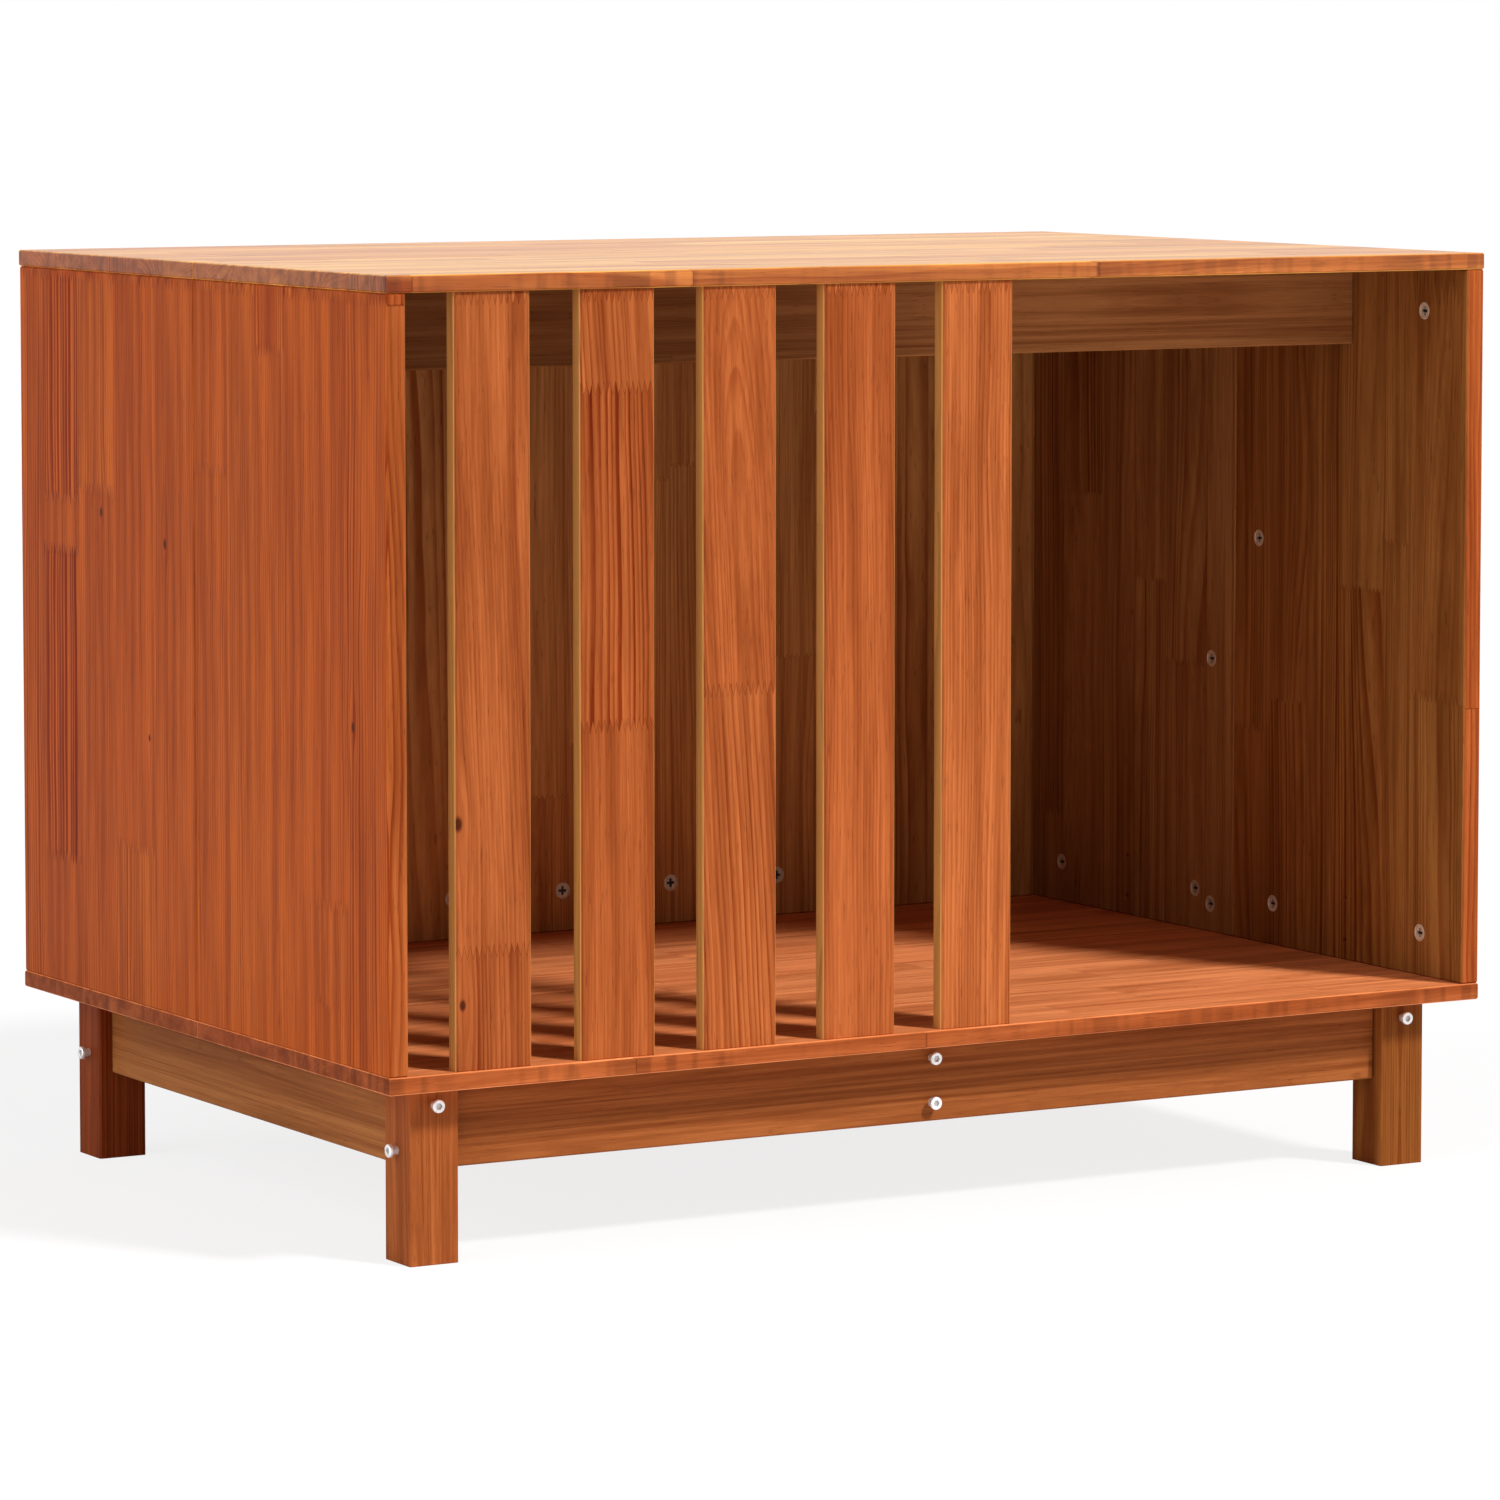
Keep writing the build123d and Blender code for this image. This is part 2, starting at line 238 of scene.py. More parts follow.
def new_group(name, inputs, outputs):
    """An empty shader node group with named sockets; returns it with its two end nodes."""
    group = bpy.data.node_groups.new(name, "ShaderNodeTree")
    for direction, sockets in (("INPUT", inputs), ("OUTPUT", outputs)):
        for socket, (kind, default) in sockets.items():
            made = group.interface.new_socket(
                socket, in_out=direction, socket_type=f"NodeSocket{kind}"
            )
            if default is not None:
                made.default_value = default
    wiring = Wiring(group)
    start = wiring.add("NodeGroupInput")
    end = wiring.add("NodeGroupOutput")
    return group, wiring, start.outputs, end.inputs


def once(build):
    """Keeps a node group after its first use, so that each is built once."""
    built = {}

    def get():
        if build not in built:
            built[build] = build()
        return built[build]

    get.__doc__ = build.__doc__
    return get


# Wood groups work in a board's own axes: X across the grain, Y through the board's
# thickness, Z along the grain. A log vector is measured from the pith of the tree that a
# block was cut from, so that rings are circles round its Z axis.

FLOAT = ("Float", 0.0)
VECTOR = ("Vector", None)
COLOUR = ("Color", None)
BLOCK_OUTPUTS = {"Log Vector": VECTOR, "Tone": FLOAT, "Figure": FLOAT, "Joint": FLOAT}
FINISH_OUTPUTS = {"Colour": COLOUR, "Roughness": FLOAT, "Height": FLOAT}

# How blocks differ. A pith lies to either side of its block, past a clear space, and at its
# own depth below the face; its lean changes that depth along the grain.
STRIP_UNEVENNESS = 0.22
PITH_SPREAD = 140 * MM
PITH_CLEAR = 40 * MM
PITH_LEAST_DEPTH = 14 * MM
PITH_DEPTH_SPREAD = 50 * MM
LEAN_SPREAD = 0.09
LEAN_MIDDLE = 0.4

# Half widths between which the glue lines at a block's ends and sides fade
END_LINE = (0.2 * MM, 1.1 * MM)
SIDE_LINE = (0.1 * MM, 0.6 * MM)

# Depth below a narrow face over which its mask fades
FACE_FADE = (0.3 * MM, 0.9 * MM)

# A knot's stretch along the grain, dark and bent, and how the bend fades and pushes
KNOT_SHRINK = 0.6
BEND_SHRINK = 0.26
BEND_FADE = -0.12
BEND_PUSH = 1.6

# How far the rings wander, slowly and finely, and how unevenly the years are spaced
RING_SWAY = 22 * MM
RING_RIPPLE = 2.2 * MM
YEAR_SPREAD = 3.8


def floats(*names):
    """Number sockets by these names."""
    return dict.fromkeys(names, FLOAT)


def finger_level(w, across, along, given):
    """The place along the grain, with the finger joints' triangle wave of X added."""
    half_pitch = w.times(given["Finger Pitch"], 0.5)
    wave = w.math("DIVIDE", w.math("PINGPONG", across, half_pitch), half_pitch)
    return w.plus(along, w.times(wave, given["Finger Length"]))


def cell_randoms(w, cell):
    """Random numbers that are the same all over one cell."""
    return w.add("ShaderNodeTexWhiteNoise", {"Vector": cell}, noise_dimensions="3D").outputs


@once
def glued_blocks():
    """Strips glued side by side, each of blocks joined end to end by fingers. The strip's
    number is the whole part of X over the width, with a small wave added. A triangle wave
    of X is added to Z, which then gives the block's number, so that block ends are zigzag."""
    group, w, given, result = new_group(
        "glued blocks",
        {
            "Vector": VECTOR,
            **floats("Lamella Width", "Block Length", "Finger Length", "Finger Pitch", "Seed"),
        },
        BLOCK_OUTPUTS,
    )
    across, depth, along = w.split(given["Vector"])
    seed = given["Seed"]
    width = given["Lamella Width"]
    length = given["Block Length"]
    phase = w.plus(w.times(across, 71.0), w.times(seed, 3.7))
    uneven = w.times(w.math("SINE", phase), STRIP_UNEVENNESS)
    strip = w.plus(w.math("DIVIDE", across, width), w.plus(uneven, seed))
    strip_number = w.math("FLOOR", strip)
    strip_part = w.math("FRACT", strip)
    strip_random = cell_randoms(w, w.join(strip_number, seed, 0.5))["Value"]
    blocks_along = w.math("DIVIDE", finger_level(w, across, along, given), length)
    sway = w.math("SINE", w.plus(w.times(along, 6.3), w.times(strip_random, 40.0)))
    start = w.plus(w.times(strip_random, 9.0), w.times(sway, 0.3))
    place = w.plus(blocks_along, start)
    block_number = w.math("FLOOR", place)
    block_part = w.math("FRACT", place)
    randoms = cell_randoms(w, w.join(strip_number, block_number, seed))
    one, two, three = w.split(randoms["Color"])
    four = randoms["Value"]
    from_middle = w.times(w.minus(strip_part, 0.5), width)
    to_either_side = w.minus(one, 0.5)
    clear = w.times(w.math("SIGN", to_either_side), PITH_CLEAR)
    pith_across = w.plus(w.times(to_either_side, PITH_SPREAD), clear)
    pith_depth = w.plus(w.times(two, PITH_DEPTH_SPREAD), PITH_LEAST_DEPTH)
    lean = w.times(w.minus(three, 0.5), LEAN_SPREAD)
    leaning = w.times(lean, w.minus(along, LEAN_MIDDLE))
    log = w.join(
        w.plus(from_middle, pith_across),
        w.plus(w.plus(depth, pith_depth), leaning),
        w.plus(along, w.times(four, 17.0)),
    )
    to_end = w.times(w.math("PINGPONG", block_part, 0.5), length)
    to_side = w.times(w.math("PINGPONG", strip_part, 0.5), width)
    end_line = w.ramp(to_end, *END_LINE, 1.0, 0.0)
    side_line = w.ramp(to_side, *SIDE_LINE, 0.55, 0.0)
    w.put(result["Log Vector"], log)
    w.put(result["Tone"], four)
    w.put(result["Figure"], three)
    w.put(result["Joint"], w.math("MAXIMUM", end_line, side_line))
    return group


@once
def placed_block():
    """One block put at a chosen place over what was there before. A point is in it where
    its X and its zigzag Z both lie between the low and the high corner."""
    group, w, given, result = new_group(
        "placed block",
        {
            "Vector": VECTOR,
            **BLOCK_OUTPUTS,
            **floats("Finger Length", "Finger Pitch"),
            **dict.fromkeys(("Low", "High", "Pith", "Lean"), VECTOR),
            **floats("Block Tone", "Block Figure"),
        },
        BLOCK_OUTPUTS,
    )
    across, _, along = w.split(given["Vector"])
    low_across, _, low_along = w.split(given["Low"])
    high_across, _, high_along = w.split(given["High"])
    level = finger_level(w, across, along, given)
    in_across = w.math("MINIMUM", w.minus(across, low_across), w.minus(high_across, across))
    in_along = w.math("MINIMUM", w.minus(level, low_along), w.minus(high_along, level))
    inside = w.math("GREATER_THAN", w.math("MINIMUM", in_across, in_along), 0.0)
    end_line = w.ramp(w.math("ABSOLUTE", in_along), *END_LINE, 1.0, 0.0)
    joint = w.times(end_line, w.math("GREATER_THAN", in_across, 0.0))
    from_pith = w.vector("SUBTRACT", given["Vector"], given["Pith"])
    slant = w.vector("SCALE", given["Lean"])
    w.put(slant.node.inputs["Scale"], w.split(from_pith)[2])
    log = w.vector("ADD", from_pith, slant)
    kept = w.times(given["Joint"], w.minus(1.0, inside))
    w.put(result["Log Vector"], w.mix_vector(inside, given["Log Vector"], log))
    w.put(result["Tone"], w.mix_number(inside, given["Tone"], given["Block Tone"]))
    w.put(result["Figure"], w.mix_number(inside, given["Figure"], given["Block Figure"]))
    w.put(result["Joint"], w.math("MAXIMUM", kept, joint))
    return group


@once
def knot():
    """A small knot, dark within its radius and somewhat longer along the grain. Round it the
    rings are pushed to both sides by an amount that dies off with the square of the distance,
    which is measured with Z shrunk, so that the grain bends over a longer stretch."""
    group, w, given, result = new_group(
        "knot",
        {"Vector": VECTOR, "Log Vector": VECTOR, "Knot": FLOAT, "Middle": VECTOR, "Radius": FLOAT},
        {"Log Vector": VECTOR, "Knot": FLOAT},
    )
    radius = given["Radius"]
    from_middle = w.vector("SUBTRACT", given["Vector"], given["Middle"])
    long_off = w.vector("LENGTH", w.vector("MULTIPLY", from_middle, (1.0, 0.0, BEND_SHRINK)))
    round_off = w.vector("LENGTH", w.vector("MULTIPLY", from_middle, (1.0, 0.0, KNOT_SHRINK)))
    distance = w.math("DIVIDE", long_off, radius)
    near = w.math("POWER", 2.718, w.times(w.math("POWER", distance, 2.0), BEND_FADE))
    push = w.times(near, w.times(radius, BEND_PUSH))
    side, _, _ = w.split(from_middle)
    turned = w.times(push, w.math("SIGN", side))
    softened = w.ramp(w.math("ABSOLUTE", side), 0.0, w.times(radius, 2.0))
    pushed = w.join(w.times(turned, softened), 0.0, 0.0)
    core = w.ramp(w.math("DIVIDE", round_off, radius), 0.4, 1.1, 1.0, 0.0)
    w.put(result["Log Vector"], w.vector("SUBTRACT", given["Log Vector"], pushed))
    w.put(result["Knot"], w.math("MAXIMUM", given["Knot"], core))
    return group


@once
def growth_rings():
    """Growth rings. The radius is the length of X and Y with slow noise added; its part of
    one ring width rises softly to the dark late wood and drops sharply after it. Wide and
    narrow years come from noise of the radius alone."""
    group, w, given, result = new_group(
        "growth rings",
        {"Log Vector": VECTOR, "Ring Width": FLOAT, "Figure": FLOAT},
        {"Late Wood": FLOAT, "Blotch": FLOAT},
    )
    log = given["Log Vector"]
    x, y, _ = w.split(log)
    radius = w.vector("LENGTH", w.join(x, y, 0.0))
    sway = w.minus(w.noise(log, (9.0, 9.0, 2.2), 2.0), 0.5)
    ripple = w.minus(w.noise(log, (70.0, 70.0, 9.0), 1.0), 0.5)
    swayed = w.plus(radius, w.times(sway, RING_SWAY))
    swayed = w.plus(swayed, w.times(ripple, RING_RIPPLE))
    width = w.times(given["Ring Width"], w.ramp(given["Figure"], 0.0, 1.0, 0.75, 1.5))
    rings = w.math("DIVIDE", swayed, width)
    years = w.noise(w.join(swayed, 0.3, 0.7), (85.0, 1.0, 1.0), 2.0)
    rings = w.plus(rings, w.times(years, YEAR_SPREAD))
    part = w.math("FRACT", rings)
    rise = w.math("POWER", w.ramp(part, 0.12, 0.86), 1.5)
    fall = w.ramp(part, 0.88, 1.0, 1.0, 0.0)
    year_random = w.add(
        "ShaderNodeTexWhiteNoise", {"W": w.math("FLOOR", rings)}, noise_dimensions="1D"
    ).outputs["Value"]
    strength = w.ramp(year_random, 0.0, 1.0, 0.5, 1.0)
    late = w.times(w.times(rise, fall), strength)
    patchy = w.ramp(w.noise(log, (16.0, 16.0, 3.0), 2.0), 0.3, 0.66, 0.45, 1.0)
    w.put(result["Late Wood"], w.times(late, patchy))
    w.put(result["Blotch"], w.noise(log, (75.0, 75.0, 2.6), 4.0, 0.6))
    return group


@once
def fibres():
    """Fine streaks: noise drawn out forty times along the grain, and short dark pores where
    a second noise passes a limit."""
    group, w, given, result = new_group(
        "fibres", {"Log Vector": VECTOR}, {"Streaks": FLOAT, "Pores": FLOAT}
    )
    log = given["Log Vector"]
    w.put(result["Streaks"], w.noise(log, (760.0, 760.0, 19.0), 2.0, 0.6))
    w.put(result["Pores"], w.ramp(w.noise(log, (900.0, 900.0, 60.0), 1.0), 0.66, 0.74))
    return group


@once
def worn_edges():
    """Wear along the long and short edges of a board. The distance to each of the three
    pairs of faces is the smaller of those from the low and from the high corner; an edge is
    where the second smallest of the three is small. Side and end are the faces at either
    end across and along the grain."""
    group, w, given, result = new_group(
        "worn edges",
        {"Vector": VECTOR, "Low": VECTOR, "High": VECTOR, "Reach": FLOAT},
        {"Edge": FLOAT, "Side": FLOAT, "End": FLOAT},
    )
    place = given["Vector"]
    to_low = w.vector("SUBTRACT", place, given["Low"])
    to_high = w.vector("SUBTRACT", given["High"], place)
    x, y, z = w.split(w.vector("MINIMUM", to_low, to_high))
    near_two = w.math(
        "MINIMUM",
        w.math("MAXIMUM", x, y),
        w.math("MINIMUM", w.math("MAXIMUM", y, z), w.math("MAXIMUM", x, z)),
    )
    rough = w.noise(place, (160.0, 160.0, 60.0), 3.0)
    uneven = w.times(given["Reach"], w.ramp(rough, 0.3, 0.7, 0.5, 1.6))
    w.put(result["Edge"], w.ramp(near_two, w.times(uneven, 0.4), uneven, 1.0, 0.0))
    w.put(result["Side"], w.ramp(x, *FACE_FADE, 1.0, 0.0))
    w.put(result["End"], w.ramp(z, *FACE_FADE, 1.0, 0.0))
    return group


# Shades that multiply the stain or the metal, the colour of knots, and a near-black
# colour painted as shade into the deep places of the fixings
WHITE = (1, 1, 1)
BLOTCH_SHADE = srgb(204, 188, 176)
STREAK_SHADES = (srgb(234, 226, 220), srgb(255, 252, 248))
LINE_SHADE = srgb(168, 134, 112)
WEAR_SHADE = (1.25, 1.22, 1.15)
KNOT_COLOUR = srgb(74, 30, 14)
SMUDGE_SHADE = (0.82, 0.81, 0.8)
PAINTED_SHADE_COLOUR = (0.012, 0.009, 0.007)


@once
def waxed_stain():
    """Colour, roughness and height of stained and waxed pine from its masks. The early wood
    lies between the red and the orange stain by the block's tone. Blotches, late wood,
    streaks, pores and glue lines multiply it darker, knots are mixed in, and worn edges are
    mixed lighter."""
    group, w, given, result = new_group(
        "waxed stain",
        {
            **dict.fromkeys(("Orange", "Red", "Late Colour"), COLOUR),
            **floats("Tone", "Late Wood", "Contrast", "Blotch", "Streaks", "Pores"),
            **floats("Joint", "Knot", "Edge", "End", "Gloss"),
        },
        FINISH_OUTPUTS,
    )
    early = w.mix(given["Tone"], given["Red"], given["Orange"])
    blotched = w.tinted(early, w.mix(w.ramp(given["Blotch"], 0.3, 0.7), BLOTCH_SHADE, WHITE))
    late = w.times(given["Late Wood"], given["Contrast"])
    ringed = w.mix(late, blotched, w.tinted(blotched, given["Late Colour"]))
    streaks = w.mix(w.ramp(given["Streaks"], 0.3, 0.72), *STREAK_SHADES)
    streaked = w.tinted(ringed, streaks)
    dark = w.math("MAXIMUM", w.times(given["Pores"], 0.35), w.times(given["Joint"], 0.6))
    dark = w.math("MAXIMUM", dark, w.times(given["End"], 0.45))
    lined = w.mix(dark, streaked, w.tinted(streaked, LINE_SHADE))
    knotted = w.mix(given["Knot"], lined, KNOT_COLOUR)
    pale = w.tinted(knotted, WEAR_SHADE)
    worn = w.mix(w.times(given["Edge"], 0.5), knotted, pale)
    w.put(result["Colour"], worn)
    dulled = w.times(w.plus(given["Streaks"], late), 0.08)
    w.put(result["Roughness"], w.plus(given["Gloss"], dulled))
    raised = w.times(late, 0.35)
    grain = w.times(given["Streaks"], 0.25)
    cut = w.plus(w.times(given["Joint"], 0.5), given["Pores"])
    w.put(result["Height"], w.minus(w.plus(raised, grain), cut))
    return group


@once
def handled_metal():
    """Metal that has been handled: fine scratches from drawn-out noise, and smudges from
    slow noise that dull it. A recess mixes in a dark colour."""
    group, w, given, result = new_group(
        "handled metal",
        {"Vector": VECTOR, "Colour": COLOUR, "Roughness": FLOAT, "Painted Shade": FLOAT},
        FINISH_OUTPUTS,
    )
    place = given["Vector"]
    scratches = w.noise(place, (5200.0, 900.0, 1700.0), 2.0, 0.7)
    smudges = w.noise(place, (420.0, 420.0, 420.0), 3.0)
    shade = w.mix(w.ramp(smudges, 0.3, 0.7), SMUDGE_SHADE, WHITE)
    dulled = w.tinted(given["Colour"], shade)
    # Painted shade: a near-black colour mixed in where the mask marks deep places
    w.put(result["Colour"], w.mix(given["Painted Shade"], dulled, PAINTED_SHADE_COLOUR))
    worn = w.times(w.minus(smudges, 0.5), 0.25)
    w.put(result["Roughness"], w.plus(given["Roughness"], worn))
    w.put(result["Height"], scratches)
    return group


# How the board's axes, across, depth and along, lie in the kennel's axes
GRAINS = {
    "upright": Matrix(((1, 0, 0), (0, 1, 0), (0, 0, 1))),
    "upright side": Matrix(((0, 1, 0), (-1, 0, 0), (0, 0, 1))),
    "flat": Matrix(((0, 1, 0), (0, 0, 1), (1, 0, 0))),
    "lengthwise": Matrix(((0, 0, 1), (0, 1, 0), (-1, 0, 0))),
    "side rail": Matrix(((0, 0, 1), (1, 0, 0), (0, 1, 0))),
}


def block(across, along, tone, figure, pith=0.1, depth=0.02, lean=(0, 0)):
    """A placed block, in metres: its ends across and along the grain, its tone and figure,
    how far its pith lies beside its middle and below its face, and how the pith leans."""
    middle = (sum(across) / 2, 0, sum(along) / 2)
    return {
        "Low": (across[0], 0, along[0]),
        "High": (across[1], 0, along[1]),
        "Pith": (middle[0] + pith, -depth, middle[2]),
        "Lean": (lean[0], lean[1], 0),
        "Block Tone": tone,
        "Block Figure": figure,
    }


def add_material(piece, name):
    """A new material on a piece, with its wiring, shader and object coordinates."""
    material = bpy.data.materials.new(name)
    material.use_nodes = True
    material.node_tree.nodes.clear()
    piece.data.materials.clear()
    piece.data.materials.append(material)
    w = Wiring(material.node_tree)
    shader = w.add("ShaderNodeBsdfPrincipled")
    w.add("ShaderNodeOutputMaterial", {"Surface": shader.outputs[0]})
    place = w.add("ShaderNodeTexCoord").outputs["Object"]
    return w, shader, place


def add_bump(w, shader, height, distance, strength):
    """A bump from a height, as deep as its distance in metres."""
    inputs = {"Height": height, "Distance": distance, "Strength": strength}
    w.put(shader.inputs["Normal"], w.add("ShaderNodeBump", inputs).outputs[0])


def barred_edges(w, board, edges, colour, tint, strength):
    """Colour of the narrow faces of a glued board: a tint, and groups of darker bars where
    the finger joints and the end grain come out."""
    rim = w.math("MAXIMUM", edges["Side"], edges["End"])
    bars = w.ramp(w.noise(board, (95.0, 12.0, 95.0), 1.0), 0.42, 0.62)
    groups = w.ramp(w.noise(board, (6.0, 1.0, 6.0), 1.0), 0.45, 0.6, 0.25, 1.0)
    darker = tuple((1 - strength) * value for value in tint)
    shade = w.mix(w.times(bars, groups), tint, darker)
    return w.mix(rim, colour, w.tinted(colour, shade))


# Reach of the wear round the edges, and depth of each finish's relief
WEAR_REACH = 1.6 * MM
PINE_RELIEF = 0.25 * MM
BEECH_RELIEF = 0.15 * MM
METAL_RELIEF = 0.02 * MM

# Depth below an inner face over which its tint of painted light fades in
INNER_FADE = (1.2 * MM, 0.4 * MM)


def board_vector(w, place, node, grain):
    """A place in a board's own axes, with its depth measured from its middle; and the
    board's low and high corner and its middle depth in them."""
    turn = GRAINS[grain]
    corners = [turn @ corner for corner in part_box(node)]
    low = Vector(map(min, *corners))
    high = Vector(map(max, *corners))
    middle_depth = (low.y + high.y) / 2
    inputs = {"Vector": place, "Rotation": turn.to_euler(), "Location": (0, -middle_depth, 0)}
    board = w.add("ShaderNodeMapping", inputs).outputs[0]
    low.y -= middle_depth
    high.y -= middle_depth
    return board, low, high, middle_depth


def wood_figure(w, board, seed, blocks, knots, lamella_width, block_length):
    """Blocks, rings, fibres and knots of a board. Its glued blocks come first, then the
    placed ones and the knots."""
    pine = bpy.context.scene.kennel.pine
    fingers = {"Finger Length": pine.finger_length, "Finger Pitch": pine.finger_pitch}
    figure = w.group(
        glued_blocks(),
        {
            "Vector": board,
            "Lamella Width": lamella_width or pine.lamella_width,
            "Block Length": block_length or pine.block_length,
            "Seed": seed,
            **fingers,
        },
    )
    for placed in blocks:
        before = {key: figure[key] for key in BLOCK_OUTPUTS}
        figure = w.group(placed_block(), {"Vector": board, **before, **placed, **fingers})
    log = figure["Log Vector"]
    dark_knot = 0.0
    for across, along, radius in knots:
        inputs = {"Vector": board, "Log Vector": log, "Knot": dark_knot}
        inputs |= {"Middle": (across, 0, along), "Radius": radius}
        found = w.group(knot(), inputs)
        log = found["Log Vector"]
        dark_knot = found["Knot"]
    ring_inputs = {"Log Vector": log, "Ring Width": pine.ring_width, "Figure": figure["Figure"]}
    rings = w.group(growth_rings(), ring_inputs)
    return figure, rings, w.group(fibres(), {"Log Vector": log}), dark_knot


def inner_face(w, board, high, middle_depth):
    """One on the face that looks into the cabin, and zero elsewhere."""
    to_cabin = -1 if middle_depth > 0 else 1
    depth = w.times(w.split(board)[1], to_cabin)
    deep, shallow = INNER_FADE
    return w.ramp(depth, high.y - deep, high.y - shallow)


def stain(
    node, grain, seed, blocks=(), knots=(), contrast=1.0, tint=WHITE, inner_painted_light=None,
    edge_tint=None, bars=0.0, evenness=0.0, coat=0.0, olive_sides=False,
    lamella_width=None, block_length=None,
):
    """Gives a board its own pine. Tints multiply the stain: inner_tint on the face towards
    the cabin, edge_tint on the narrow faces, where bars is the strength of the dark bars.
    evenness draws the tones of the blocks together, and olive_sides thins the stain on the
    long narrow faces."""
    pine = bpy.context.scene.kennel.pine
    w, shader, place = add_material(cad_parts[node], f"pine_{node}")
    board, low, high, middle_depth = board_vector(w, place, node, grain)
    figure, rings, fine, dark_knot = wood_figure(
        w, board, seed, blocks, knots, lamella_width, block_length
    )
    edges = w.group(worn_edges(), {"Vector": board, "Low": low, "High": high, "Reach": WEAR_REACH})
    finish = w.group(
        waxed_stain(),
        {
            "Orange": Vector(pine.orange) * Vector(tint),
            "Red": Vector(pine.red) * Vector(tint),
            "Late Colour": tuple(pine.late_wood),
            "Tone": w.mix_number(evenness, figure["Tone"], 0.5),
            "Late Wood": rings["Late Wood"],
            "Contrast": w.times(w.ramp(figure["Figure"], 0.0, 1.0, 0.35, 1.15), contrast),
            "Blotch": rings["Blotch"],
            "Streaks": fine["Streaks"],
            "Pores": fine["Pores"],
            "Joint": figure["Joint"],
            "Knot": dark_knot,
            "Edge": edges["Edge"],
            "End": edges["End"],
            "Gloss": pine.gloss,
        },
    )
    colour = finish["Colour"]
    if olive_sides:
        planed_late = tuple(0.72 * value for value in pine.planed_edge)
        planed = w.mix(rings["Late Wood"], tuple(pine.planed_edge), planed_late)
        colour = w.mix(w.times(edges["Side"], 0.85), colour, planed)
    # Painted light: the face towards the cabin is made lighter and browner, to offset the red
    # light that bounces about inside
    if inner_painted_light:
        inner = inner_face(w, board, high, middle_depth)
        colour = w.mix(inner, colour, w.tinted(colour, inner_painted_light))
    # On the roof and the floor the edge tint takes painted light back on the narrow faces; the
    # dark bars are the finger joints and end grain
    if edge_tint:
        colour = barred_edges(w, board, edges, colour, edge_tint, bars)
    w.put(shader.inputs["Base Color"], colour)
    w.put(shader.inputs["Roughness"], finish["Roughness"])
    shader.inputs["Specular IOR Level"].default_value = 0.03
    shader.inputs["Coat Weight"].default_value = coat
    shader.inputs["Coat Roughness"].default_value = 0.16
    add_bump(w, shader, finish["Height"], PINE_RELIEF, 0.6)


def metal(piece, name, colour, roughness, recess=None, metallic=1.0):
    """Gives a piece a handled metal finish. recess names the attribute that darkens its
    deep places."""
    w, shader, place = add_material(piece, name)
    deep = 0.0
    if recess:
        deep = w.add("ShaderNodeAttribute", attribute_name=recess).outputs["Fac"]
    inputs = {"Vector": place, "Colour": colour, "Roughness": roughness, "Painted Shade": deep}
    finish = w.group(handled_metal(), inputs)
    w.put(shader.inputs["Base Color"], finish["Colour"])
    w.put(shader.inputs["Roughness"], finish["Roughness"])
    shader.inputs["Metallic"].default_value = metallic
    add_bump(w, shader, finish["Height"], METAL_RELIEF, 0.3)


def beech(node):
    """Gives dowels plain beech: pale, with fine streaks along each axis and small flecks."""
    w, shader, place = add_material(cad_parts[node], f"beech_{node}")
    streaks = w.noise(place, (900.0, 900.0, 120.0), 3.0)
    flecks = w.ramp(w.noise(place, (2400.0, 2400.0, 500.0), 1.0), 0.6, 0.7)
    base = w.mix(w.ramp(streaks, 0.3, 0.7), srgb(206, 172, 128), srgb(226, 196, 154))
    w.put(shader.inputs["Base Color"], w.mix(flecks, base, srgb(178, 136, 92)))
    w.put(shader.inputs["Roughness"], w.ramp(streaks, 0.2, 0.8, 0.5, 0.7))
    add_bump(w, shader, streaks, BEECH_RELIEF, 0.4)


# Shapes. A surface is an array of points on a grid of two parameters.


def solid_boxes(node):
    """Lowest and highest corner of each separate solid of a CAD node. Corners in one place
    share a label, and each triangle hands its lowest label to its corners until nothing
    changes."""
    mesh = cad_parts[node].data
    places = np.empty(len(mesh.vertices) * 3, np.float32)
    mesh.vertices.foreach_get("co", places)
    corners = np.empty(len(mesh.loops), np.int32)
    mesh.loops.foreach_get("vertex_index", corners)
    points, merged = np.unique(np.round(places.reshape(-1, 3), 6), axis=0, return_inverse=True)
    triangles = merged.ravel()[corners].reshape(-1, 3)
    labels = np.arange(len(points))
    changed = True
    while changed:
        lowest = np.repeat(labels[triangles].min(1)[:, None], 3, axis=1)
        handed = labels.copy()
        np.minimum.at(handed, triangles, lowest)
        changed = bool((handed != labels).any())
        labels = handed
    solids = [points[labels == label] for label in np.unique(labels)]
    return np.array([(solid.min(0), solid.max(0)) for solid in solids], float)


def quads(numbers, closed=False):
    """Quads between the rows of a matrix of point numbers; a closed one joins its last
    column to its first."""
    if closed:
        numbers = np.column_stack((numbers, numbers[:, 0]))
    corners = (numbers[:-1, :-1], numbers[:-1, 1:], numbers[1:, 1:], numbers[1:, :-1])
    return np.stack(corners, -1).reshape(-1, 4)


def disc_grid(lines):
    """A square grid bent into a disc of radius one. A point keeps its place in the middle
    half; towards the rim it is pulled to its largest coordinate over its length times
    itself, which lies on a circle."""
    a, b = np.meshgrid(lines, lines, indexing="ij")
    largest = np.maximum(abs(a), abs(b))
    length = np.maximum(np.hypot(a, b), 1e-9)
    share = np.clip((largest - 0.55) / 0.45, 0, 1)
    share = share * share * (3 - 2 * share)
    scale = (1 - share) + share * largest / length
    return a * scale, b * scale, largest


def border(numbers):
    """Point numbers along the border of a square grid, once round."""
    sides = (numbers[0, :-1], numbers[:-1, -1], numbers[-1, :0:-1], numbers[:0:-1, 0])
    return np.concatenate(sides)


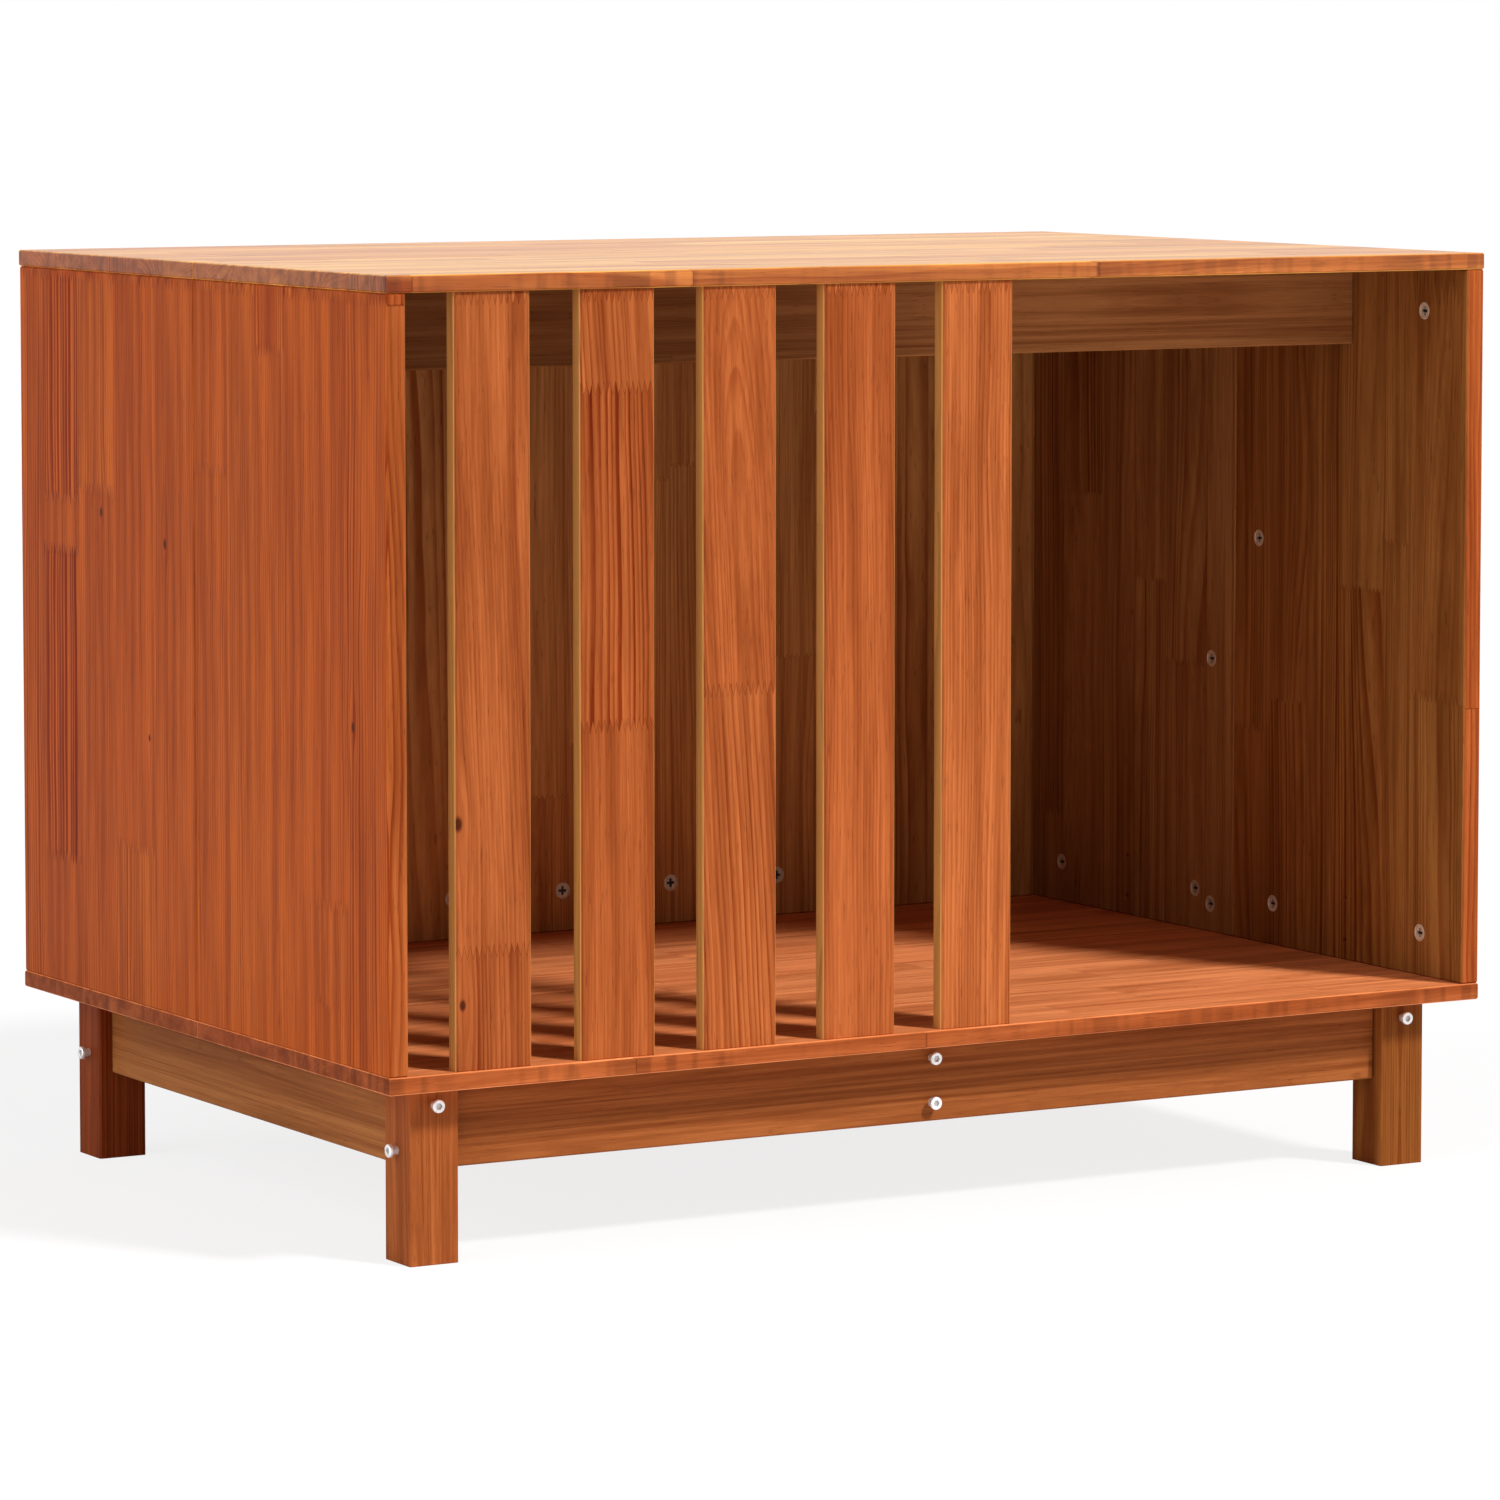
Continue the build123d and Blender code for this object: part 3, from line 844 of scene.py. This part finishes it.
def new_piece(name, points, faces, slot, stands_for, **attributes):
    """A piece of the kennel made of points and quads, riding with the frame."""
    mesh = bpy.data.meshes.new(name)
    mesh.from_pydata(points.reshape(-1, 3), [], faces.tolist())
    mesh.update()
    for attribute, values in attributes.items():
        made = mesh.attributes.new(attribute, "FLOAT", "POINT")
        made.data.foreach_set("value", np.asarray(values, np.float32).ravel())
    mesh.polygons.foreach_set("use_smooth", np.ones(len(mesh.polygons), bool))
    mesh.set_sharp_from_angle(angle=math.radians(32))
    piece = bpy.data.objects.new(name, mesh)
    bpy.context.scene.collection.objects.link(piece)
    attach(piece, "root")
    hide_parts(stands_for)
    return piece


def repeated(points, faces, axes, origins):
    """One shape at many places. axes holds each place's three unit vectors as columns."""
    placed = np.einsum("kij,nj->kni", axes, points) + origins[:, None, :]
    counted = faces[None] + (np.arange(len(origins)) * len(points))[:, None, None]
    return placed.reshape(-1, 3), counted.reshape(-1, 4)


def round_fixings(node, slot, shape, axes, origins, recess_shade_strength=1.0):
    """One shape at every place, in the stead of a CAD node. deepness is how dark its
    recesses are."""
    points, faces, recess = shape
    dark = recess_shade_strength * np.tile(recess, len(origins))
    placed = repeated(points, faces, axes, origins)
    return new_piece(f"round_{node}", *placed, slot, node, recess=dark)


# Fixings, each in its own axes: Z comes out of the board's face, which is at zero
CAM_SUNK = 0.3 * MM
CAM_BODY_RADIUS = 5.6 * MM
CAM_BACK_BELOW_BOLT = 3.8 * MM
CAM_MOUTH_HALF = 3.4 * MM
# Grid lines of a cam from its middle to its rim, as shares of the rim's reach. They stand
# close together beside the cross, the mouth and the rim, whose limits lie between them.
CAM_LINES = np.array((0.148, 0.167, 0.3, 0.5, 0.54, 0.64, 0.66, 0.766, 0.805, 0.953, 1.0))
LINE_ROOM = 0.01
RIM_INSIDE = 0.78
RIM_OUTSIDE = 0.98
MOUTH_SIDE = 0.65
MOUTH_START = -0.17
BOLT_SIDES = 48
BOLT_PROUD = 7.3 * MM
BOLT_HEAD_HEIGHT = 2.5 * MM
BOLT_HEAD_RADIUS = 4.6 * MM
BOLT_NECK_RADIUS = 3.0 * MM
BOLT_SHANK_RADIUS = 2.6 * MM
SOCKET_RADIUS = 2.4 * MM
SOCKET_DEPTH = 1.6 * MM
SOCKET_BEVEL_DEPTH = 0.15 * MM
BEVEL = 0.2 * MM
AXIS_RADIUS = 0.02 * MM


def cam_shape(fixings, thickness):
    """A cam lock with its mouth towards Y. Its front is a disc grid whose height is a dish
    with a cross cut into it and a thin rim round it. Its back is a second disc grid whose
    height rises into the mouth, and rings at the board's face join the two borders."""
    lines = np.concatenate((-CAM_LINES[::-1], CAM_LINES))
    x, y, ring = disc_grid(lines)
    a, b = np.meshgrid(lines, lines, indexing="ij")
    narrow = np.minimum(abs(a), abs(b)) < fixings.cross_width / 2 / fixings.rim_reach + LINE_ROOM
    short = np.maximum(abs(a), abs(b)) < fixings.cross_reach / fixings.rim_reach + LINE_ROOM
    in_cross = narrow & short
    height = np.select(
        (in_cross, ring < RIM_INSIDE, ring < RIM_OUTSIDE),
        (-CAM_SUNK - fixings.cross_depth, -CAM_SUNK, fixings.rim_height),
        0.4 * fixings.rim_height,
    )
    back = -CAM_SUNK - thickness
    in_mouth = (abs(a) < MOUTH_SIDE) & (b > MOUTH_START)
    ceiling = back + CAM_BACK_BELOW_BOLT + CAM_MOUTH_HALF
    back_height = np.where(in_mouth, ceiling, back)
    reach = fixings.rim_reach
    front_points = np.stack((x * reach, y * reach, height), -1).reshape(-1, 3)
    back_points = np.stack((x * CAM_BODY_RADIUS, y * CAM_BODY_RADIUS, back_height), -1)
    numbers = np.arange(lines.size**2).reshape(lines.size, lines.size)
    edge = border(numbers)
    round_edge = front_points[edge] * (1, 1, 0)
    rings = (round_edge, round_edge * (CAM_BODY_RADIUS / reach))
    points = np.concatenate((front_points, back_points.reshape(-1, 3), *rings))
    ring_numbers = 2 * numbers.size + np.arange(2 * edge.size).reshape(2, edge.size)
    wall = np.vstack((edge, ring_numbers, edge + numbers.size))
    faces = (quads(numbers)[:, ::-1], quads(numbers + numbers.size), quads(wall, closed=True))
    recess = np.zeros(len(points))
    # The slots of the cross are marked for painted shade
    recess[: numbers.size] = in_cross.ravel()
    return points, np.concatenate(faces), recess


def cam_places(node, axis, bolts):
    """Axes, origins and thickness of the cams of a node. Z points into the cabin along the
    given axis, and Y to the nearest cam bolt."""
    boxes = solid_boxes(node)
    middles = boxes.mean(1)
    inward = np.zeros_like(middles)
    inward[:, axis] = -np.sign(middles[:, axis])
    apart = np.linalg.norm(middles[:, None] - bolts.mean(1)[None], axis=2)
    mouth = bolts.mean(1)[apart.argmin(1)] - middles
    mouth[:, axis] = 0
    mouth /= np.linalg.norm(mouth, axis=1)[:, None]
    ends = np.where(inward > 0, boxes[:, 1], boxes[:, 0])
    origins = middles.copy()
    origins[:, axis] = ends[:, axis] + CAM_SUNK * inward[:, axis]
    axes = np.stack((np.cross(mouth, inward), mouth, inward), -1)
    return axes, origins, float((boxes[0, 1] - boxes[0, 0])[axis])


def bolt_shape(fixings, length):
    """A frame bolt: rings of a profile carried round Z, from the bottom of its socket over
    the rounded head and down its neck and shank. In the socket the radius is a hexagon's,
    its flat over the cosine of the angle from the flat's middle."""
    turn = np.linspace(0, 2 * math.pi, BOLT_SIDES, endpoint=False)
    hexagon = math.cos(math.pi / 6) / np.cos(turn % (math.pi / 3) - math.pi / 6)
    top = BOLT_PROUD
    under = top - BOLT_HEAD_HEIGHT
    bend = np.linspace(0, math.pi / 2, 5)
    rounding = fixings.head_rounding
    profile = np.array(
        [(AXIS_RADIUS, top - SOCKET_DEPTH), (SOCKET_RADIUS, top - SOCKET_DEPTH)]
        + [(SOCKET_RADIUS, top - SOCKET_BEVEL_DEPTH), (SOCKET_RADIUS + BEVEL, top)]
        + [
            (BOLT_HEAD_RADIUS - rounding * (1 - math.sin(t)), top - rounding * (1 - math.cos(t)))
            for t in bend
        ]
        + [(BOLT_HEAD_RADIUS, under + BEVEL), (BOLT_HEAD_RADIUS - BEVEL, under)]
        + [(BOLT_NECK_RADIUS, under), (BOLT_NECK_RADIUS, 0), (BOLT_SHANK_RADIUS, 0)]
        + [(BOLT_SHANK_RADIUS, top - length), (AXIS_RADIUS, top - length)]
    )
    six_sided = np.zeros(len(profile))
    six_sided[:4] = 1
    shape = 1 + six_sided[:, None] * (hexagon[None] - 1)
    radius = profile[:, :1] * shape
    height = np.broadcast_to(profile[:, 1:], radius.shape)
    points = np.stack((radius * np.cos(turn), radius * np.sin(turn), height), -1)
    numbers = np.arange(radius.size).reshape(radius.shape)
    faces = quads(numbers, closed=True)[:, ::-1]
    recess = np.zeros(radius.shape)
    # The socket's floor is marked for painted shade; so is its middle point, added below
    recess[:2] = 1
    middles = points[[0, -1]].mean(1)
    caps = [closing_fan(numbers[0], radius.size), closing_fan(numbers[-1][::-1], radius.size + 1)]
    points = np.concatenate((points.reshape(-1, 3), middles))
    return points, np.concatenate((faces, *caps)), np.append(recess.ravel(), (1, 0))


def closing_fan(ring, middle):
    """Quads that close a ring of an even number of points to its middle point."""
    pairs = np.append(ring, ring[0])
    return np.stack((pairs[:-1:2], pairs[1::2], pairs[2::2], np.full(ring.size // 2, middle)), -1)


def bolt_places(node):
    """Axes, origins and length of the frame bolts of a node. Each lies along its box's
    longest side with its head away from the kennel's middle."""
    boxes = solid_boxes(node)
    middles = boxes.mean(1)
    sides = boxes[:, 1] - boxes[:, 0]
    along = np.eye(3)[sides.argmax(1)]
    outward = along * np.sign((middles * along).sum(1))[:, None]
    heads = (np.where(outward > 0, boxes[:, 1], boxes[:, 0]) * along).sum(1)
    faces = heads - BOLT_PROUD * outward.sum(1)
    origins = middles * (1 - along) + along * faces[:, None]
    up = np.broadcast_to((0.0, 0.0, 1.0), outward.shape)
    axes = np.stack((np.cross(up, outward), up, outward), -1)
    return axes, origins, float(sides.max())


# Places of chosen blocks and knots, in metres: across and along the grain in the kennel's
# axes. A knot is its place across, its place along and its radius.
UPRIGHT_LOW = 0.135
UPRIGHT_HIGH = 0.661
LEFT_REAR_BLOCKS = (
    block((0.257, 0.298), (UPRIGHT_LOW, UPRIGHT_HIGH), 0.45, 0.45, pith=0.07),
    block((0.195, 0.257), (0.498, UPRIGHT_HIGH), 0.45, 1.0, pith=0.12),
    block((0.195, 0.257), (0.460, 0.498), 0.35, 0.1),
    block((0.195, 0.257), (0.233, 0.460), 0.3, 1.0, pith=0.13),
    block((0.195, 0.257), (UPRIGHT_LOW, 0.233), 0.35, 0.05),
    block((0.135, 0.195), (0.508, UPRIGHT_HIGH), 0.8, 0.3, pith=0.09),
    block((0.135, 0.195), (UPRIGHT_LOW, 0.508), 0.4, 0.25, pith=0.08),
    block((0.068, 0.135), (0.253, UPRIGHT_HIGH), 0.3, 0.1, pith=0.09),
    block((0.068, 0.135), (UPRIGHT_LOW, 0.253), 0.85, 0.4, pith=0.15),
    block((0.0, 0.068), (UPRIGHT_LOW, UPRIGHT_HIGH), 0.45, 0.2, pith=0.09),
)
LEFT_REAR_KNOTS = ((0.156, 0.487, 0.0028), (0.048, 0.471, 0.003), (0.076, 0.330, 0.002))
LEFT_FRONT_BLOCKS = (
    block((-0.055, 0.0), (0.533, UPRIGHT_HIGH), 0.45, 0.05),
    block((-0.055, 0.0), (UPRIGHT_LOW, 0.533), 0.5, 0.25, pith=0.1),
    block((-0.100, -0.055), (UPRIGHT_LOW, UPRIGHT_HIGH), 0.7, 0.2, pith=0.08),
    block((-0.145, -0.100), (UPRIGHT_LOW, 0.620), 0.55, 0.2, pith=0.12),
    block((-0.190, -0.145), (UPRIGHT_LOW, UPRIGHT_HIGH), 0.45, 0.15, pith=0.1),
    block((-0.240, -0.190), (0.246, UPRIGHT_HIGH), 0.4, 0.2, pith=0.06),
    block((-0.299, -0.240), (UPRIGHT_LOW, UPRIGHT_HIGH), 0.5, 0.4, pith=0.06, depth=0.03),
)
LEFT_FRONT_KNOTS = ((-0.248, 0.367, 0.0028),)
SLAT_BLOCKS = {
    1: (
        block((-0.398, -0.34), (0.220, UPRIGHT_HIGH), 0.55, 0.2, pith=0.05, lean=(0.02, 0.02)),
        block((-0.398, -0.34), (UPRIGHT_LOW, 0.220), 0.5, 0.5, pith=0.12),
    ),
    2: (
        block((-0.302, -0.244), (0.598, UPRIGHT_HIGH), 0.6, 0.5, pith=0.02, lean=(0.05, 0.02)),
        block((-0.302, -0.244), (0.368, 0.598), 0.4, 0.92, pith=-0.08, lean=(0.015, 0)),
        block((-0.302, -0.244), (UPRIGHT_LOW, 0.368), 0.35, 0.08),
    ),
    3: (
        block((-0.206, -0.148), (0.388, UPRIGHT_HIGH), 0.5, 0.3, pith=0.0, lean=(0.04, 0.05)),
        block((-0.206, -0.148), (UPRIGHT_LOW, 0.388), 0.7, 0.5, pith=0.06, lean=(0.04, 0.01)),
    ),
    4: (block((-0.11, -0.052), (UPRIGHT_LOW, UPRIGHT_HIGH), 0.5, 0.28, pith=0.1),),
    5: (block((-0.014, 0.044), (UPRIGHT_LOW, UPRIGHT_HIGH), 0.75, 0.3, pith=-0.1),),
}
SLAT_KNOTS = {1: ((-0.396, 0.303, 0.004), (-0.393, 0.180, 0.003))}

# Tints of single boards, which multiply the stain. Inner faces get painted light: they are
# lighter and browner, because light that bounces about in the cabin comes out redder
# than it should.
SLAT_TINTS = {
    1: (0.88, 0.9, 0.85),
    2: (0.93, 0.96, 0.88),
    3: (0.97, 0.99, 0.92),
    4: (0.99, 1.0, 0.95),
    5: (1.02, 1.05, 1.0),
}
# Painted light: the roof boards are lightened to cream for the strong light and sheen on the
# roof's top; its edge tint takes part of this back on the narrow faces
ROOF_PAINTED_LIGHT = (1.85, 3.4, 2.45)
ROOF_EDGE_LESS_PAINTED_LIGHT = (0.65, 0.42, 0.46)
# Painted light: the cabin floor is lightened well past the stain for the light on its top; its
# edge tint takes this back, so the narrow faces keep the plain stain
FLOOR_PAINTED_LIGHT = (2.0, 2.7, 3.6)
FLOOR_EDGE_WITHOUT_PAINTED_LIGHT = (0.5, 0.37, 0.27)
OUTER_TINT = (0.98, 0.92, 0.75)
# Painted light: the back's inner face is made lighter and browner against the cabin's red bounce
BACK_INNER_PAINTED_LIGHT = (1.5, 2.9, 3.9)
RAIL_TINT = (0.86, 1.38, 1.65)
# Partly painted shade: the aprons are made less red for the shade under the floor's overhang
APRON_TINT_AND_PAINTED_SHADE = (0.83, 1.17, 1.2)
LEFT_TINT = (1.08, 0.88, 0.4)
# Painted light: the same on the left wall's inner face
LEFT_INNER_PAINTED_LIGHT = (0.78, 1.48, 3.1)
LEFT_EDGE_TINT = (0.86, 1.06, 2.0)
# Painted light: the same on the right wall's inner faces, front and rear board
RIGHT_INNER_PAINTED_LIGHT = {"front": (0.76, 1.26, 1.4), "rear": (0.95, 2.0, 2.9)}
# Painted shade: the front right and both back legs are darkened for the shade they stand in; the
# front left leg, in the light, has only a small tint
LEG_TINTS_AND_PAINTED_SHADE = {
    "front_left": (0.89, 1.04, 1.0),
    "front_right": (0.58, 0.74, 0.54),
    "back_left": (0.6, 0.5, 0.4),
    "back_right": (0.64, 0.7, 0.6),
}


class KENNEL_OT_boards(bpy.types.Operator):
    """Stain floor, roof, walls and back"""

    bl_idname = "kennel.boards"
    bl_label = "Boards"

    def execute(self, context):
        for seed, place in ((3.0, "front"), (7.0, "rear")):
            stain(
                f"floor_board_{place}", "flat", seed, contrast=0.3, evenness=0.6,
                tint=FLOOR_PAINTED_LIGHT, edge_tint=FLOOR_EDGE_WITHOUT_PAINTED_LIGHT, bars=0.3,
            )
            stain(
                f"roof_board_{place}", "flat", seed + 9,
                tint=ROOF_PAINTED_LIGHT, edge_tint=ROOF_EDGE_LESS_PAINTED_LIGHT, bars=0.3, coat=0.36,
            )
            stain(
                f"right_wall_{place}", "upright side", seed + 20, contrast=1.2, evenness=0.7,
                block_length=0.8, tint=OUTER_TINT, inner_painted_light=RIGHT_INNER_PAINTED_LIGHT[place],
            )
        for seed, place, blocks, knots in (
            (33, "front", LEFT_FRONT_BLOCKS, LEFT_FRONT_KNOTS),
            (39, "rear", LEFT_REAR_BLOCKS, LEFT_REAR_KNOTS),
        ):
            stain(
                f"left_wall_{place}", "upright side", seed, blocks, knots, contrast=1.7,
                tint=LEFT_TINT, inner_painted_light=LEFT_INNER_PAINTED_LIGHT, edge_tint=LEFT_EDGE_TINT,
            )
        for number, name in enumerate(("left", "middle", "right")):
            stain(
                f"back_board_{name}", "upright", 44 + 5 * number, contrast=0.9, evenness=0.7,
                block_length=0.8, tint=OUTER_TINT, inner_painted_light=BACK_INNER_PAINTED_LIGHT,
            )
        return {"FINISHED"}


class KENNEL_OT_slats(bpy.types.Operator):
    """Stain the slats of the front and the rails under the roof"""

    bl_idname = "kennel.slats"
    bl_label = "Slats and rails"

    def execute(self, context):
        for number, blocks in SLAT_BLOCKS.items():
            stain(
                f"front_slat_{number}", "upright", 60 + 3 * number, blocks,
                SLAT_KNOTS.get(number, ()), contrast=1.2, tint=SLAT_TINTS[number],
                lamella_width=0.4, olive_sides=True,
            )
        for seed, place in ((80, "front"), (84, "rear")):
            stain(
                f"{place}_rail", "lengthwise", seed, tint=RAIL_TINT, contrast=0.35,
                lamella_width=0.2, block_length=1.3,
            )
        return {"FINISHED"}


class KENNEL_OT_legs(bpy.types.Operator):
    """Stain the legs and the frame between them"""

    bl_idname = "kennel.legs"
    bl_label = "Legs and frame"

    def execute(self, context):
        whole = {"lamella_width": 0.3, "block_length": 1.1}
        # The leg tints paint shade onto three of the legs
        for number, (name, tint) in enumerate(LEG_TINTS_AND_PAINTED_SHADE.items()):
            stain(f"leg_{name}", "upright", 90 + 3 * number, tint=tint, **whole)
        long_aprons = ("front_apron", "back_apron")
        short_aprons = ("left_apron", "right_apron", "centre_stretcher")
        for names, grain in ((long_aprons, "lengthwise"), (short_aprons, "side rail")):
            for number, name in enumerate(names):
                seed = 110 + 4 * number + len(names)
                # The apron tint partly paints the shade under the floor
                stain(name, grain, seed, contrast=0.4, tint=APRON_TINT_AND_PAINTED_SHADE, **whole)
        return {"FINISHED"}


class KENNEL_OT_cams(bpy.types.Operator):
    """Build the round cam locks with their crosses and rims"""

    bl_idname = "kennel.cams"
    bl_label = "Cam locks"

    def execute(self, context):
        fixings = context.scene.kennel.fixings
        wall_bolts = np.concatenate((solid_boxes("wall_cam_bolts"), solid_boxes("seam_cam_bolts")))
        back_bolts = solid_boxes("back_cam_bolts")
        for node, axis, bolts in (("wall_cams", 0, wall_bolts), ("back_cams", 1, back_bolts)):
            axes, origins, thickness = cam_places(node, axis, bolts)
            shape = cam_shape(fixings, thickness)
            piece = round_fixings(node, "zinc_cams", shape, axes, origins)
            metal(piece, f"zinc_{node}", tuple(fixings.zinc), 0.6, "recess", 0.25)
        return {"FINISHED"}


class KENNEL_OT_bolts(bpy.types.Operator):
    """Build the round frame bolts with their hexagon sockets"""

    bl_idname = "kennel.bolts"
    bl_label = "Frame bolts"

    def execute(self, context):
        fixings = context.scene.kennel.fixings
        for node in ("leg_bolts", "stretcher_bolts"):
            axes, origins, length = bolt_places(node)
            shape = bolt_shape(fixings, length)
            piece = round_fixings(node, "bright_bolts", shape, axes, origins, 0.4)
            metal(piece, f"bright_{node}", tuple(fixings.bright), 0.35, "recess", 0.6)
        return {"FINISHED"}


class KENNEL_OT_hidden_fixings(bpy.types.Operator):
    """Finish the dowels, cam bolts and barrel nuts inside the wood"""

    bl_idname = "kennel.hidden_fixings"
    bl_label = "Hidden fixings"

    def execute(self, context):
        fixings = context.scene.kennel.fixings
        for node in ("slat_dowels", "frame_dowels", "back_dowels", "rail_dowels"):
            beech(node)
        for node in ("wall_cam_bolts", "seam_cam_bolts", "back_cam_bolts"):
            metal(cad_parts[node], f"zinc_{node}", tuple(fixings.zinc), 0.45)
        for node in ("leg_barrel_nuts", "stretcher_barrel_nuts"):
            metal(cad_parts[node], f"bright_{node}", tuple(fixings.bright), 0.35)
        return {"FINISHED"}


# Where the lamps shine from, in degrees right of the front and above the floor, and how
# wide they are
KEY_FROM = (29, 44)
KEY_SPREAD = 9
FILL_FROM = (-80, 24)
FILL_SPREAD = 60

# The floor's half side, grid and place below the feet, and how much of it the camera sees
# as plain white
FLOOR_REACH = 40
FLOOR_LINES = 9
FLOOR_BELOW = 0.2 * MM
FLOOR_WHITENESS = 0.82

# The photograph's camera: place, swing and downward tilt in degrees, and shift of its frame
CAMERA_PLACE = (-2.4608, -4.2509, 0.8368)
CAMERA_SWING = 30.095
CAMERA_TILT = 4.517
FRAME_SHIFT = -0.13
SENSOR_WIDTH = 36


def add_lamp(name, strength, spread, towards_lamp):
    """A sun whose light comes from a direction. spread is its size in degrees."""
    data = bpy.data.lights.new(name, "SUN")
    data.energy = strength
    data.angle = math.radians(spread)
    lamp = bpy.data.objects.new(name, data)
    lamp.rotation_euler = Vector(towards_lamp).to_track_quat("Z", "Y").to_euler()
    bpy.context.scene.collection.objects.link(lamp)


def direction(azimuth, elevation):
    """A unit vector from degrees right of the front's own direction, and above the floor."""
    a, e = math.radians(azimuth), math.radians(elevation)
    return Vector((math.sin(a) * math.cos(e), -math.cos(a) * math.cos(e), math.sin(e)))


class KENNEL_OT_studio(bpy.types.Operator):
    """Build the floor, the lamps, the surroundings and the camera"""

    bl_idname = "kennel.studio"
    bl_label = "Studio"

    def execute(self, context):
        studio = context.scene.kennel.studio
        self.add_floor(tuple(studio.floor))
        add_lamp("key", studio.key, KEY_SPREAD, direction(*KEY_FROM))
        add_lamp("fill", studio.fill, FILL_SPREAD, direction(*FILL_FROM))
        self.add_surroundings(studio.ambient)
        self.add_camera(studio.lens)
        return {"FINISHED"}

    def add_floor(self, colour):
        """A wide flat grid of points, pale to the camera but keeping the kennel's shadow."""
        reach = np.linspace(-FLOOR_REACH, FLOOR_REACH, FLOOR_LINES)
        x, y = np.meshgrid(reach, reach, indexing="ij")
        mesh = bpy.data.meshes.new("studio_floor")
        points = np.stack((x, y, np.full_like(x, -FLOOR_BELOW)), -1).reshape(-1, 3)
        numbers = np.arange(x.size).reshape(x.shape)
        mesh.from_pydata(points, [], quads(numbers)[:, ::-1].tolist())
        floor = bpy.data.objects.new("studio_floor", mesh)
        bpy.context.scene.collection.objects.link(floor)
        w, shader, place = add_material(floor, "studio_paper")
        grain = w.noise(place, (3.0, 3.0, 3.0), 2.0)
        shade = w.mix(w.ramp(grain, 0.3, 0.7), (0.985, 0.985, 0.985), (1, 1, 1))
        w.put(shader.inputs["Base Color"], w.tinted(colour, shade))
        shader.inputs["Roughness"].default_value = 0.9
        shader.inputs["Specular IOR Level"].default_value = 0.1
        white = w.add("ShaderNodeEmission", {"Color": (1, 1, 1), "Strength": 1.0})
        seen = w.add("ShaderNodeLightPath").outputs["Is Camera Ray"]
        shown = w.add("ShaderNodeMixShader", {0: w.times(seen, FLOOR_WHITENESS)})
        w.put(shown.inputs[1], shader.outputs[0])
        w.put(shown.inputs[2], white.outputs[0])
        output = next(n for n in w.tree.nodes if n.type == "OUTPUT_MATERIAL")
        w.put(output.inputs["Surface"], shown.outputs[0])

    def add_surroundings(self, ambient):
        """White to the camera, in gloss and through glass, and a plain ambient light."""
        world = bpy.data.worlds.new("studio")
        bpy.context.scene.world = world
        world.use_nodes = True
        w = Wiring(world.node_tree)
        world.node_tree.nodes.clear()
        ray = w.add("ShaderNodeLightPath").outputs
        seen = w.math("MAXIMUM", ray["Is Camera Ray"], ray["Is Glossy Ray"])
        seen = w.math("MAXIMUM", seen, ray["Is Transmission Ray"])
        light = w.add(
            "ShaderNodeBackground",
            {"Color": (1, 1, 1), "Strength": w.mix_number(seen, ambient, 1.0)},
        )
        w.add("ShaderNodeOutputWorld", {"Surface": light.outputs[0]})

    def add_camera(self, lens):
        """The camera of the photograph, with its frame shifted on the kennel."""
        data = bpy.data.cameras.new("camera")
        data.lens = lens
        data.sensor_width = SENSOR_WIDTH
        data.shift_y = FRAME_SHIFT
        camera = bpy.data.objects.new("camera", data)
        camera.location = CAMERA_PLACE
        camera.rotation_euler = np.radians((90 - CAMERA_TILT, 0, -CAMERA_SWING))
        bpy.context.scene.collection.objects.link(camera)
        bpy.context.scene.camera = camera
        bpy.context.scene.view_settings.view_transform = "Standard"


OPERATORS = (
    KENNEL_OT_studio,
    KENNEL_OT_boards,
    KENNEL_OT_slats,
    KENNEL_OT_legs,
    KENNEL_OT_cams,
    KENNEL_OT_bolts,
    KENNEL_OT_hidden_fixings,
)


class KENNEL_PT_panel(bpy.types.Panel):
    """Lists the kennel's operators and settings"""

    bl_idname = "KENNEL_PT_panel"
    bl_label = "Pine kennel"
    bl_space_type = "VIEW_3D"
    bl_region_type = "UI"
    bl_category = "Kennel"

    def draw(self, context):
        for operator in OPERATORS:
            self.layout.operator(operator.bl_idname)
        settings = context.scene.kennel
        for group in (settings.pine, settings.fixings, settings.studio):
            box = self.layout.box()
            for name in type(group).__annotations__:
                box.prop(group, name)


CLASSES = (PineFinish, FixingFinish, Studio, KennelSettings, *OPERATORS, KENNEL_PT_panel)


def register():
    """Registers the classes and hangs the settings on the scene."""
    for each in CLASSES:
        bpy.utils.register_class(each)
    bpy.types.Scene.kennel = PointerProperty(type=KennelSettings)


def unregister():
    """Takes back what register did."""
    del bpy.types.Scene.kennel
    for each in reversed(CLASSES):
        bpy.utils.unregister_class(each)


def main():
    """Makes the kennel's looks and writes its size beside the CAD box."""
    register()
    bpy.ops.kennel.studio()
    bpy.ops.kennel.boards()
    bpy.ops.kennel.slats()
    bpy.ops.kennel.legs()
    bpy.ops.kennel.cams()
    bpy.ops.kennel.bolts()
    bpy.ops.kennel.hidden_fixings()


if __name__ == "__main__":
    main()
